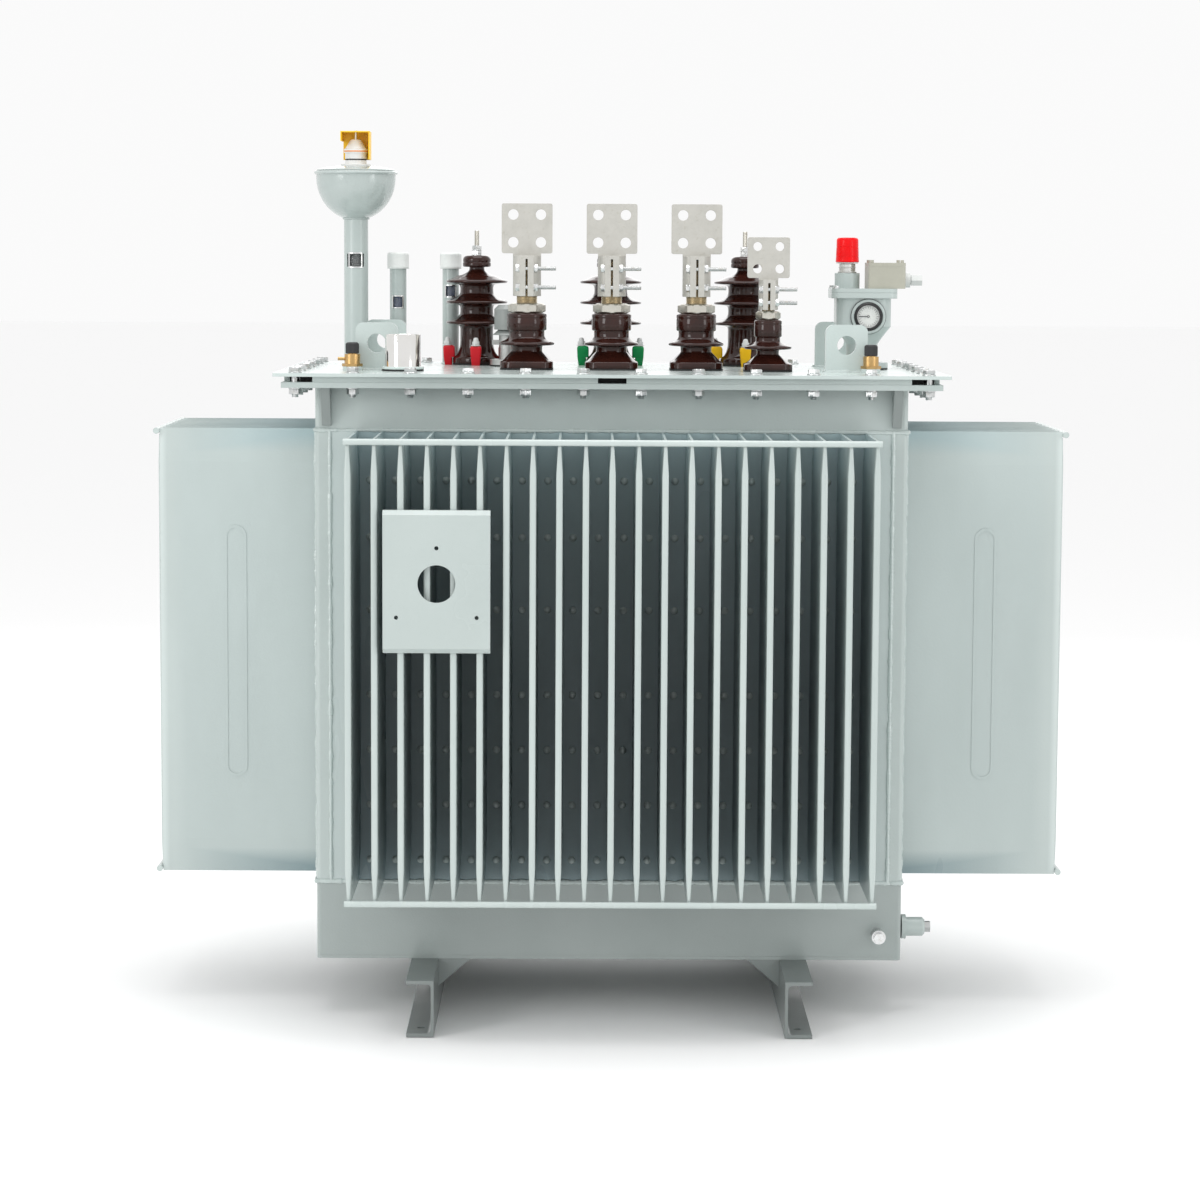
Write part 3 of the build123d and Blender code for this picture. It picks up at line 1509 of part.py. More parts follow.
# Plates either side of each yoke; the lower pair stands on the tank's bottom.
with BuildPart() as core_clamps:
    with BuildSketch(Plane.XZ.offset(limb_d / 2)):
        with Locations((0, z_box)):
            Rectangle(core_w, core_foot + clamp_h, align=(Align.CENTER, Align.MIN))
        with Locations((0, core_top)):
            Rectangle(core_w, clamp_h, align=(Align.CENTER, Align.MAX))
    extrude(amount=clamp_t)
    mirror(about=Plane.XZ)
save(core_clamps, "core_clamps")

for label, inner, outer in (
    ("lv_windings", lv_coil_in, lv_coil_out),
    ("hv_windings", hv_coil_in, hv_coil_out),
):
    with BuildPart() as windings:
        with BuildSketch(Plane.XY.offset(z_coil)):
            with Locations(*limb_spots):
                Circle(outer)
                Circle(inner, mode=Mode.SUBTRACT)
        extrude(amount=coil_h)
    save(windings, label)

lead_low = z_coil + coil_h + lead_end_gap
lv_ring = (lv_coil_in + lv_coil_out) / 2
hv_ring = (hv_coil_in + hv_coil_out) / 2
lead_paths = []
for (x, y), limb in zip(lv_spots, limb_xs):
    z_stud = z_seat - below_seat - phase_size["tail_h"] - lead_tail
    bend = z_stud - lead_drop
    lead_paths += [[(x, y, z_stud), (x, y, bend), (limb, -lv_ring, bend), (limb, -lv_ring, lead_low)]]
with BuildPart() as leads:
    for points in lead_paths:
        with BuildLine() as route:
            FilletPolyline(*points, radius=lead_bend)
        with BuildSketch(Plane(origin=points[0], z_dir=(0, 0, -1))):
            Circle(lead_r)
        sweep(path=route.wire())
    for (x, y), limb in zip(hv_spots, limb_xs):
        z_stud = z_seat - below_seat - hv_tail_h - lead_tail
        with BuildLine() as route:
            run = Line((x, y, z_stud - lead_end_gap), (limb, hv_ring, lead_low))
        with BuildSketch(Plane(origin=run @ 0, z_dir=run % 0)):
            Circle(hv_stud_r)
        sweep(path=route.wire())
save(leads, "leads")
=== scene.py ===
import math

import bmesh
import bpy
from mathutils import Matrix, Vector


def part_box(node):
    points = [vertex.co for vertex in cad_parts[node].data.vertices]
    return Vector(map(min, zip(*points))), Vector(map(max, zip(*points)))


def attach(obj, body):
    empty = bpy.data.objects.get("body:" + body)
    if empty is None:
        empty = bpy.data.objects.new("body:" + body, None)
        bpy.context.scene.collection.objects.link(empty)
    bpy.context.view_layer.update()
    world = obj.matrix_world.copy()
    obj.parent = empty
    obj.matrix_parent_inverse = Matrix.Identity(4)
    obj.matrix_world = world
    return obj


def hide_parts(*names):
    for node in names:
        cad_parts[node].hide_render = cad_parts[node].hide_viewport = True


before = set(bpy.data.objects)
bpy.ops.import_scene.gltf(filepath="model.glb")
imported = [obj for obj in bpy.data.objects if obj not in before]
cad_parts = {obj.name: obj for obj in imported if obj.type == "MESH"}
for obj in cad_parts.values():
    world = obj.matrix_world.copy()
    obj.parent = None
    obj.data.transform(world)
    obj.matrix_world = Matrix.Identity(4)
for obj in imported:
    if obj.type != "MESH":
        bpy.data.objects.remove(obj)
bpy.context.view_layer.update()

# ---------------------------------------------------------------- floor, light and camera
# The transformer stands on a plain pale floor under soft studio panels, seen from just above
# the height of its cover, square on to the low-voltage side.
floor_mesh = bpy.data.meshes.new("studio_floor")
floor_reach, floor_drop = 60, -0.001
corner_signs = ((-1, -1), (1, -1), (1, 1), (-1, 1))
floor_corners = [(a * floor_reach, b * floor_reach, floor_drop) for a, b in corner_signs]
floor_mesh.from_pydata(floor_corners, [], [(0, 1, 2, 3)])
floor = bpy.data.objects.new("studio_floor", floor_mesh)
bpy.context.collection.objects.link(floor)
floor_paint = bpy.data.materials.new("floor_white")
floor_paint.use_nodes = True
floor_shader = floor_paint.node_tree.nodes["Principled BSDF"]
floor_shader.inputs["Base Color"].default_value = (0.975, 0.975, 0.975, 1)
floor_shader.inputs["Roughness"].default_value = 0.9
floor_mesh.materials.append(floor_paint)

world = bpy.data.worlds.new("studio_air")
world.use_nodes = True
world_light = world.node_tree.nodes["Background"]
world_light.inputs["Color"].default_value = (1.0, 1.0, 1.0, 1)
world_light.inputs["Strength"].default_value = 0.96
bpy.context.scene.world = world
bpy.context.scene.view_settings.view_transform = "Standard"


def light_panel(name, place, aim, width, height, power):
    """A soft rectangular lamp at one place, turned to face a point."""
    lamp = bpy.data.lights.new(name, "AREA")
    lamp.shape = "RECTANGLE"
    lamp.size = width
    lamp.size_y = height
    lamp.energy = power
    holder = bpy.data.objects.new(name, lamp)
    holder.location = place
    holder.rotation_euler = (Vector(aim) - Vector(place)).to_track_quat("-Z", "Y").to_euler()
    bpy.context.collection.objects.link(holder)


light_panel("panel_above", (0, -0.5, 4.6), (0, 0, 1.0), 3.2, 2.4, 70)
light_panel("panel_left", (-4.2, -4.0, 2.4), (0, 0, 0.8), 1.6, 2.6, 62)
light_panel("panel_right", (4.4, -3.6, 2.0), (0, 0, 0.8), 1.2, 2.6, 30)
light_panel("panel_behind", (0.5, 4.5, 3.0), (0, 0, 0.9), 4.0, 2.0, 30)

camera_lens = bpy.data.cameras.new("camera")
camera_lens.sensor_width = 36
camera_lens.lens = 99
camera = bpy.data.objects.new("camera", camera_lens)
pitch, yaw, roll = math.radians(-5.949), math.radians(0.2455), math.radians(0.2948)
ahead = Vector((math.sin(yaw) * math.cos(pitch), math.cos(yaw) * math.cos(pitch), math.sin(pitch)))
level = Vector((math.cos(yaw), -math.sin(yaw), 0))
upward = level.cross(ahead)
right = math.cos(roll) * level + math.sin(roll) * upward
top = -math.sin(roll) * level + math.cos(roll) * upward
camera_place = (-0.0442, -6.0981, 1.3557)
camera_turn = Matrix((right, top, -ahead)).transposed().to_4x4()
camera.matrix_world = Matrix.Translation(camera_place) @ camera_turn
bpy.context.collection.objects.link(camera)
bpy.context.scene.camera = camera

# ---------------------------------------------------------------- runners and gussets
# Two lengths of rolled steel channel carry the tank across its width. Bent gusset plates tie
# them to the tank's bottom, and everything is sprayed with the same light grey-green enamel.


class Field:
    """One shader socket that can stand in a Python sum."""

    def __init__(self, tree, socket):
        self.tree = tree
        self.socket = socket

    def step(self, operation, first, second):
        sum_node = self.tree.nodes.new("ShaderNodeMath")
        sum_node.operation = operation
        for slot, value in zip(sum_node.inputs, (first, second)):
            if isinstance(value, Field):
                self.tree.links.new(value.socket, slot)
            else:
                slot.default_value = value
        return Field(self.tree, sum_node.outputs[0])

    def __add__(self, other):
        return self.step("ADD", self, other)

    def __sub__(self, other):
        return self.step("SUBTRACT", self, other)

    def __rsub__(self, other):
        return self.step("SUBTRACT", other, self)

    def __mul__(self, other):
        return self.step("MULTIPLY", self, other)

    def __truediv__(self, other):
        return self.step("DIVIDE", self, other)

    def __pow__(self, other):
        return self.step("POWER", self, other)

    __radd__ = __add__
    __rmul__ = __mul__


class Finish:
    """One surface finish: a material whose nodes are added by name."""

    def __init__(self, name, **constants):
        self.material = bpy.data.materials.new(name)
        self.material.use_nodes = True
        self.tree = self.material.node_tree
        self.shader = self.tree.nodes["Principled BSDF"]
        for socket, value in constants.items():
            self.shader.inputs[socket.replace("_", " ")].default_value = value
        self.place = self.node("TexCoord", output="Object")

    def node(self, kind, settings=(), output=0, **values):
        made = self.tree.nodes.new("ShaderNode" + kind)
        for key, value in dict(settings).items():
            if key == "stops":
                ramp = made.color_ramp
                for spare in list(ramp.elements)[1:]:
                    ramp.elements.remove(spare)
                ramp.elements[0].position = value[0][0]
                ramp.elements[0].color = value[0][1]
                for position, colour in value[1:]:
                    ramp.elements.new(position).color = colour
            else:
                setattr(made, key, value)
        for key, value in values.items():
            slot = made.inputs[int(key[1:])] if key[0] == "_" else made.inputs[key.replace("_", " ")]
            if isinstance(value, Field):
                self.tree.links.new(value.socket, slot)
            else:
                slot.default_value = value
        return Field(self.tree, made.outputs[output])

    def noise(self, scale, detail=3.0, roughness=0.55, stretch=(1, 1, 1)):
        where = self.place
        if stretch != (1, 1, 1):
            where = self.node("Mapping", Vector=self.place, Scale=stretch)
        return self.node("TexNoise", Vector=where, Scale=scale, Detail=detail, Roughness=roughness)

    def between(self, value, low, high):
        return self.node("MapRange", {"clamp": True}, Value=value, From_Min=low, From_Max=high)

    def blend(self, share, first, second):
        return self.node("Mix", {"data_type": "RGBA"}, output=2, _0=share, _6=first, _7=second)

    def set(self, **links):
        for key, value in links.items():
            self.tree.links.new(value.socket, self.shader.inputs[key.replace("_", " ")])
        return self

    def relief(self, height, distance, soften=0.0):
        """Turns a height in 0..1 into surface relief, with edges eased by a small radius."""
        values = {"Height": height, "Distance": distance, "Strength": 1.0}
        if soften:
            values["Normal"] = self.node("Bevel", {"samples": 4}, Radius=soften)
        return self.set(Normal=self.node("Bump", **values))


def rgba(red, green, blue):
    """A full colour from its three shares."""
    return (red, green, blue, 1.0)


def enamel(name, tone=1.0, gloss=0.27, soften=0.0012, runs=0.0):
    """Sprayed enamel: faint clouding, dark dust specks, fine orange peel and small nibs."""
    coat = Finish(name, Coat_Roughness=0.12, Specular_IOR_Level=0.5)
    fresh = rgba(0.47 * tone, 0.53 * tone, 0.515 * tone)
    thin = rgba(0.37 * tone, 0.43 * tone, 0.415 * tone)
    cloud = coat.noise(5.0, 4.0)
    streak = coat.noise(9.0, 3.0, stretch=(1, 1, 0.12))
    mottle = coat.between(cloud * 0.6 + streak * 0.4, 0.30, 0.72)
    colour = coat.blend(mottle * 0.55, fresh, thin)
    speck = coat.between(coat.noise(420.0, 2.0), 0.70, 0.78)
    colour = coat.blend(speck * 0.35, colour, rgba(0.20 * tone, 0.23 * tone, 0.22 * tone))
    peel = coat.noise(260.0, 2.0) * 0.6 + coat.noise(38.0, 2.0) * 0.4
    if runs:
        peel = peel + coat.noise(30.0, 2.0, stretch=(1, 1, 0.08)) * runs
    coat.set(Base_Color=colour, Roughness=mottle * 0.12 + gloss, Coat_Weight=0.5 - mottle * 0.25)
    return coat.relief(peel, 0.0004, soften)


def clothe(finish, *nodes):
    """Gives carried-over solids their finish."""
    for node in nodes:
        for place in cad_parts[node].material_slots:
            place.material = finish.material


tank_enamel = enamel("tank_enamel", runs=0.5)
# The runners and gussets get darker copies of that enamel: painted shade under the tank.
clothe(enamel("base_enamel", tone=0.42, gloss=0.33), "base_channels")
clothe(enamel("gusset_enamel", tone=0.5), "gussets")

# ---------------------------------------------------------------- tank and its weld seams
# A welded box of sheet steel: a deep bottom tray, four corner posts and a band under the
# flange, joined by hand-run weld beads that the enamel follows.
# The bottom tray and lower box get a darker copy of the tank enamel: painted shade on the tank's lower
# part.
clothe(enamel("tray_enamel", tone=0.74, runs=0.5), "tank_bottom", "tank_lower_box")
clothe(tank_enamel, "corner_posts", "upper_band")


class Net:
    """A Geometry Nodes tree with named inputs, written one node at a time."""

    def __init__(self, name):
        self.tree = bpy.data.node_groups.new(name, "GeometryNodeTree")
        self.tree.interface.new_socket("Geometry", in_out="INPUT", socket_type="NodeSocketGeometry")
        self.tree.interface.new_socket("Geometry", in_out="OUTPUT", socket_type="NodeSocketGeometry")
        self.source = self.tree.nodes.new("NodeGroupInput")
        self.sink = self.tree.nodes.new("NodeGroupOutput")

    def ask(self, label, kind):
        """Adds one named input and returns its socket."""
        self.tree.interface.new_socket(label, in_out="INPUT", socket_type="NodeSocket" + kind)
        return self.source.outputs[label]

    def node(self, kind, settings=(), output=0, **values):
        made = self.tree.nodes.new(kind)
        for key, value in dict(settings).items():
            setattr(made, key, value)
        for key, value in values.items():
            slot = made.inputs[int(key[1:])] if key[0] == "_" else made.inputs[key.replace("_", " ")]
            if isinstance(value, bpy.types.NodeSocket):
                self.tree.links.new(value, slot)
            else:
                slot.default_value = value
        return made.outputs[output]

    def sum(self, operation, first, second=0.0):
        return self.node("ShaderNodeMath", {"operation": operation}, _0=first, _1=second)

    def end(self, geometry, finish):
        real = self.node("GeometryNodeRealizeInstances", Geometry=geometry)
        dressed = self.node("GeometryNodeSetMaterial", Geometry=real, Material=finish)
        self.tree.links.new(dressed, self.sink.inputs["Geometry"])


def grow(name, source, net, body, slot, replaces=(), smooth=40, **inputs):
    """Runs a tree on a source object and keeps the result as one plain mesh on one body."""
    seed = bpy.data.objects.new(name, source)
    bpy.context.collection.objects.link(seed)
    worker = seed.modifiers.new("grow", "NODES")
    worker.node_group = net.tree
    for item in net.tree.interface.items_tree:
        key = item.name.replace(" ", "_").lower()
        if item.in_out == "INPUT" and key in inputs:
            worker[item.identifier] = inputs[key]
    solid = bpy.data.meshes.new_from_object(seed.evaluated_get(bpy.context.evaluated_depsgraph_get()))
    bpy.data.objects.remove(seed)
    solid.shade_smooth()
    solid.set_sharp_from_angle(angle=math.radians(smooth))
    piece = bpy.data.objects.new(name, solid)
    bpy.context.collection.objects.link(piece)
    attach(piece, body)
    if replaces:
        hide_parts(*replaces)
    return piece


def strung(name, routes):
    """A curve of straight-sided splines in metres, one for each route."""
    thread = bpy.data.curves.new(name, "CURVE")
    thread.dimensions = "3D"
    for route in routes:
        strand = thread.splines.new("POLY")
        strand.points.add(len(route) - 1)
        for point, spot in zip(strand.points, route):
            point.co = (*spot, 1.0)
    return thread


full_turn = 6.2832
weld_net = Net("weld_bead")
bead_radius = weld_net.ask("Bead radius", "Float")
ripple_pitch = weld_net.ask("Ripple pitch", "Float")
weld_seed = weld_net.ask("Seed", "Int")
weld_finish = weld_net.ask("Finish", "Material")
stepped = weld_net.node(
    "GeometryNodeResampleCurve",
    {"mode": "LENGTH"},
    Curve=weld_net.source.outputs["Geometry"],
    Length=weld_net.sum("DIVIDE", ripple_pitch, 3.0),
)
along = weld_net.node("GeometryNodeSplineParameter", output="Length")
ripple = weld_net.sum(
    "SINE", weld_net.sum("MULTIPLY", weld_net.sum("DIVIDE", along, ripple_pitch), full_turn),
)
wander = weld_net.node(
    "ShaderNodeTexNoise", {"noise_dimensions": "4D"}, Scale=55.0, Detail=2.0, W=weld_net.sum(
        "MULTIPLY", weld_seed, 1.7,
    )
)
fatness = weld_net.sum(
    "ADD", weld_net.sum("MULTIPLY", ripple, 0.13), weld_net.sum(
        "ADD", weld_net.sum("MULTIPLY", wander, 1.9), 0.05,
    )
)
bead_section = weld_net.node(
    "GeometryNodeCurvePrimitiveCircle", {"mode": "RADIUS"}, Resolution=8, Radius=1.0,
)
weld_body = weld_net.node(
    "GeometryNodeCurveToMesh",
    Curve=stepped,
    Profile_Curve=bead_section,
    Scale=weld_net.sum("MULTIPLY", fatness, bead_radius),
    Fill_Caps=True,
)
weld_net.end(weld_body, weld_finish)


bead_enamel = enamel("bead_enamel", tone=1.12, gloss=0.18)


def weld(name, routes, radius, seed=1, finish=None):
    """Lays one ripple of bead after another along each route."""
    grow(
        name, strung(name, routes), weld_net, "tank", "paint",
        bead_radius=radius, ripple_pitch=0.007, seed=seed, finish=(finish or bead_enamel).material,
    )


def round_route(x, y, z, radius, steps):
    """A level circle for a bead to follow."""
    turns = [2 * math.pi * i / steps for i in range(steps + 1)]
    return [[(x + radius * math.cos(a), y + radius * math.sin(a), z) for a in turns]]


half_x, half_y = 0.524, 0.270
face_x, face_y = 0.498, 0.244
seam_low, seam_high = 0.240, 1.048
girdle = [
    (-half_x, -half_y), (half_x, -half_y), (half_x, half_y), (-half_x, half_y), (-half_x, -half_y),
]
weld("weld_tray", [[(x, y, seam_low) for x, y in girdle]], 0.0042, seed=2)
weld("weld_band", [[(x, y, seam_high) for x, y in girdle]], 0.0034, seed=3)
uprights = []
for side in (-1, 1):
    for end in (1, -1):
        for x, y in ((end * face_x, side * half_y), (side * half_x, end * face_y)):
            uprights.append([(x, y, seam_low), (x, y, seam_high)])
weld("weld_uprights", uprights, 0.0036, seed=4)

# ---------------------------------------------------------------- corrugated walls
# Each wall is one long sheet pressed into deep hollow fins, pinched and welded along their
# tops and bottoms. Rows of small spacer dimples are pressed into the sheet between the fins.


def folded_enamel(name, axis, root, depth, across, last_fold):
    """The tank's enamel, with painted shade towards the root of the folds and a painted highlight along
    the fin tips; its gloss falls off towards the roots.
    """
    coat = Finish(name, Coat_Roughness=0.12)
    reach = coat.node("SeparateXYZ", output=axis, Vector=coat.place)
    reach = (reach.step("ABSOLUTE", reach, 0.0) - root) / depth
    # The outermost fins' outer sides stand out of the gaps and get almost no painted shade.
    outer = coat.node("SeparateXYZ", output=across, Vector=coat.place)
    outer = coat.between(outer.step("ABSOLUTE", outer, 0.0), last_fold, last_fold + 0.002)
    # Painted shade: the share of light reaching into a fold, from 0 at the root to 1 at the tip; the
    # coat weight follows it too.
    lit_share = coat.between(reach, 0.0, 0.92) ** 1.25
    lit_share = lit_share.step("MAXIMUM", lit_share, outer * 0.9)
    cloud = coat.between(coat.noise(6.0, 3.0, stretch=(1, 1, 0.3)), 0.3, 0.7)
    # Painted shade at the fold roots, bluish and darker lower down the wall.
    height = coat.between(
        coat.node("SeparateXYZ", output="Z", Vector=coat.place), seam_low + 0.35, seam_high,
    )
    root_shade_tone = coat.blend(height, rgba(0.21, 0.29, 0.31), rgba(0.40, 0.52, 0.54))
    colour = coat.blend(lit_share, root_shade_tone, rgba(0.50, 0.565, 0.55))
    colour = coat.blend(cloud * 0.22, colour, rgba(0.26, 0.31, 0.30))
    # Painted highlight along the fin tips.
    rim = coat.between(reach, 0.955, 0.985)
    colour = coat.blend(rim * 0.75, colour, rgba(0.60, 0.665, 0.65))
    peel = coat.noise(240.0, 2.0) * 0.5 + coat.noise(24.0, 2.0, stretch=(1, 1, 0.2)) * 0.5
    coat.set(Base_Color=colour, Roughness=cloud * 0.12 + 0.26, Coat_Weight=lit_share * 0.5)
    return coat.relief(peel, 0.0004)


front_depth, side_depth = 0.240, 0.2855
front_folds = folded_enamel("fold_enamel_front", "Y", half_y, front_depth, "X", 0.4525)
side_folds = folded_enamel("fold_enamel_sides", "X", half_x, side_depth, "Y", 0.1825)
clothe(front_folds, "corrugated_front", "corrugated_rear")
clothe(side_folds, "corrugated_left", "corrugated_right")


class Shape:
    """Faces of one piece, gathered in metres in the shared frame."""

    def __init__(self):
        self.mesh = bmesh.new()

    def rings(self, rings, closed=False):
        """Skins a row of rings of equal length; a ring of one point is a pole."""
        rows = [[self.mesh.verts.new(spot) for spot in ring] for ring in rings]
        pairs = list(zip(rows, rows[1:]))
        if closed:
            pairs.append((rows[-1], rows[0]))
        for low, high in pairs:
            count = max(len(low), len(high))
            for i in range(count):
                j = (i + 1) % count
                corners = [
                    low[i % len(low)], low[j % len(low)], high[j % len(high)], high[i % len(high)],
                ]
                corners = list(dict.fromkeys(corners))
                if len(corners) > 2:
                    self.mesh.faces.new(corners)
        return rows

    def turned(self, outline, centre, steps=48, frame_turn=None):
        """Revolves (radius, height) points about an upright line, or about frame_turn's Z axis."""
        spin = (frame_turn or Matrix.Identity(3)).to_3x3()
        rows = []
        for radius, height in outline:
            if radius < 1e-6:
                rows.append([Vector(centre) + spin @ Vector((0, 0, height))])
                continue
            angles = [2 * math.pi * i / steps for i in range(steps)]
            rows.append([
                Vector(centre) + spin @ Vector(
                    (radius * math.cos(a), radius * math.sin(a), height)
                ) for a in angles
            ])
        self.rings(rows, closed=outline[0][0] > 1e-6 and outline[-1][0] > 1e-6)

    def loft(self, rings):
        """Skins rings and closes both ends."""
        rows = self.rings(rings)
        self.mesh.faces.new(rows[0])
        self.mesh.faces.new(rows[-1])

    def piece(self, name, finish, body, slot, replaces=(), smooth=38):
        """Turns the faces into an object; a part that is only copied elsewhere has no body."""
        same_spot = 1e-5
        bmesh.ops.remove_doubles(self.mesh, verts=self.mesh.verts, dist=same_spot)
        bmesh.ops.recalc_face_normals(self.mesh, faces=self.mesh.faces)
        solid = bpy.data.meshes.new(name)
        self.mesh.to_mesh(solid)
        self.mesh.free()
        solid.shade_smooth()
        solid.set_sharp_from_angle(angle=math.radians(smooth))
        solid.materials.append(finish.material)
        made = bpy.data.objects.new(name, solid)
        bpy.context.collection.objects.link(made)
        if body:
            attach(made, body)
        if replaces:
            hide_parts(*replaces)
        return made


scatter_net = Net("fastener_scatter")
scatter_item = scatter_net.ask("Item", "Object")
scatter_turn = scatter_net.ask("Loose turn", "Float")
scatter_seed = scatter_net.ask("Seed", "Int")
scatter_finish = scatter_net.ask("Finish", "Material")
aim = scatter_net.node("GeometryNodeInputNamedAttribute", {"data_type": "FLOAT_VECTOR"}, Name="aim")
loose = scatter_net.node(
    "FunctionNodeRandomValue",
    {"data_type": "FLOAT"},
    output=1,
    _2=scatter_net.sum("MULTIPLY", scatter_turn, -1.0),
    _3=scatter_turn,
    Seed=scatter_seed,
)
spun = scatter_net.node("ShaderNodeCombineXYZ", Z=loose)
placed = scatter_net.node(
    "FunctionNodeRotateRotation",
    {"rotation_space": "LOCAL"},
    Rotation=scatter_net.node("FunctionNodeEulerToRotation", Euler=aim),
    Rotate_By=scatter_net.node("FunctionNodeEulerToRotation", Euler=spun),
)
copied = scatter_net.node(
    "GeometryNodeInstanceOnPoints",
    Points=scatter_net.source.outputs["Geometry"],
    Instance=scatter_net.node("GeometryNodeObjectInfo", output="Geometry", Object=scatter_item),
    Rotation=placed,
)
scatter_net.end(copied, scatter_finish)


def scatter(name, item, spots, finish, body, slot, replaces=(), loose_turn=0.0, seed=1, smooth=38):
    """Copies a small part to each (place, aim) spot; the part's own +Z follows the aim."""
    dots = bpy.data.meshes.new(name)
    dots.from_pydata([place for place, _ in spots], [], [])
    turns = dots.attributes.new("aim", "FLOAT_VECTOR", "POINT")
    for value, (_, out) in zip(turns.data, spots):
        value.vector = Vector(out).to_track_quat("Z", "Y").to_euler()
    piece = grow(
        name, dots, scatter_net, body, slot, replaces, smooth,
        item=item, loose_turn=loose_turn, seed=seed, finish=finish.material,
    )
    bpy.data.objects.remove(item)
    return piece


def arc(radius, height, steps):
    """Quarter of an oval, from its rim up to its pole."""
    angles = [math.pi / 2 * i / steps for i in range(steps + 1)]
    return [(radius * math.cos(a), height * math.sin(a)) for a in angles]


# The dimples get a lighter copy of the tank enamel: a painted highlight that makes the bumps read as
# lit.
dimple_enamel = enamel("dimple_enamel", tone=1.25, gloss=0.14)


def dimple(name):
    button = Shape()
    button.turned(
        [(0.0, -0.001), (0.0085, -0.001)] + arc(0.0068, 0.006, 4)[:-1] + [(0.0, 0.006)], (0, 0, 0),
        steps=12,
    )
    return button.piece(name, dimple_enamel, None, None)


fin_pitch = 0.045


def evenly(count):
    """Places of a row of things one fin pitch apart, centred on the tank."""
    return [(i - (count - 1) / 2) * fin_pitch for i in range(count)]


dimple_rows = (0.280, 0.380, 0.479, 0.578, 0.730, 0.859, 0.960)
front_gaps, side_gaps = evenly(20), evenly(8)
front_dimples = [
    ((x, s * half_y, z), (0, s, 0))
    for s in (-1, 1)
    for x in front_gaps
    for z in dimple_rows
]
scatter("dimples_long_walls", dimple("dimple_a"), front_dimples, dimple_enamel, "tank", "paint")
side_dimples = [
    ((s * half_x, y, z), (s, 0, 0))
    for s in (-1, 1)
    for y in side_gaps
    for z in dimple_rows
]
scatter("dimples_end_walls", dimple("dimple_b"), side_dimples, dimple_enamel, "tank", "paint")

# ---------------------------------------------------------------- stay rods
# Round bars are welded across the tips of the fins, top and bottom, to hold their spacing.
clothe(enamel("rod_enamel", tone=1.12, gloss=0.22), "stay_rods")
fin_tips, end_tips = evenly(21), evenly(9)
# ---------------------------------------------------------------- fin noses
# The sheet turns back on itself along the tip of every fin, so each tip is a round nose that
# narrows where the fin is pinched shut at its top and bottom.
noses = Shape()
nose_rows = (
    (0.2530, 0.0023), (0.264, 0.0031), (0.284, 0.0045), (0.302, 0.0055),
    (0.986, 0.0055), (1.004, 0.0045), (1.024, 0.0031), (1.0350, 0.0023),
)
nose_bulge, nose_bite = 0.5, 0.0001


def add_nose(centre, outward):
    """One half-round strip along a fin's tip."""
    along = Vector((-outward[1], outward[0], 0))
    out = Vector(outward)
    bend = [math.pi * i / 8 for i in range(9)]
    rings = []
    for z, half in nose_rows:
        middle = Vector((*centre, z))
        rings.append([
            tuple(
                middle + along * (half * math.cos(a)) + out * (
                    half * nose_bulge * math.sin(a) - nose_bite
                )
            )
            for a in bend
        ])
    noses.loft(rings)


for s in (-1, 1):
    for tip in fin_tips:
        add_nose((tip, s * (half_y + front_depth)), (0, s, 0))
    for tip in end_tips:
        add_nose((s * (half_x + side_depth), tip), (s, 0, 0))
noses.piece("fin_noses", enamel("nose_enamel", tone=1.08, gloss=0.16), "tank", "paint", smooth=60)

# ---------------------------------------------------------------- flange, gasket and cover
# The cover is one flat plate bolted down on the tank's flange over a black rubber gasket.
# Steel limit strips set how far the gasket is squeezed.
pale_enamel = enamel("cover_enamel", tone=1.22, gloss=0.2)
clothe(enamel("flange_enamel", tone=1.05, gloss=0.25), "tank_flange")
clothe(pale_enamel, "cover_plate", "lifting_lugs")


def rubber(name):
    """Black moulded rubber, greyed by handling and slightly glazed where it is pressed."""
    skin = Finish(name, Specular_IOR_Level=0.35)
    bloom = skin.between(skin.noise(30.0, 5.0, 0.65), 0.38, 0.75)
    skin.set(
        Base_Color=skin.blend(bloom, rgba(0.012, 0.012, 0.013), rgba(0.045, 0.045, 0.043)),
        Roughness=bloom * 0.25 + 0.5,
    )
    return skin.relief(skin.noise(500.0, 3.0), 0.0002)


black_rubber = rubber("gasket_rubber")
clothe(black_rubber, "cover_gasket", "cover_seals")


def plated(name, tone=(0.62, 0.63, 0.63), rough=0.24, tint=(0.55, 0.50, 0.42), metal=1.0, grain=900.0):
    """Plated or bare metal: a faint tint, fine scratches and dulling from handling."""
    skin = Finish(name, Metallic=metal)
    haze = skin.between(skin.noise(45.0, 4.0, 0.6), 0.35, 0.7)
    stain = skin.between(skin.noise(140.0, 3.0), 0.58, 0.75)
    colour = skin.blend(haze * 0.5, rgba(*tone), rgba(*[c * 0.82 for c in tone]))
    colour = skin.blend(stain * 0.45, colour, rgba(*tint))
    fine = skin.noise(grain, 2.0, stretch=(1, 1, 0.06))
    skin.set(Base_Color=colour, Roughness=haze * 0.16 + stain * 0.12 + fine * 0.08 + rough)
    return skin.relief(fine * 0.5 + skin.noise(90.0, 3.0) * 0.5, 0.00025)


zinc = plated("zinc_plate", tone=(0.66, 0.67, 0.67), rough=0.22)
bolt_x, bolt_y = 0.556, 0.301
cover_top, flange_low = 1.150, 1.124
long_step, short_step = 2 * bolt_x / 11, 2 * bolt_y / 6
bolt_row = [(-bolt_x + i * long_step, s * bolt_y) for s in (-1, 1) for i in range(12)]
bolt_row += [(s * bolt_x, -bolt_y + j * short_step) for s in (-1, 1) for j in range(1, 6)]


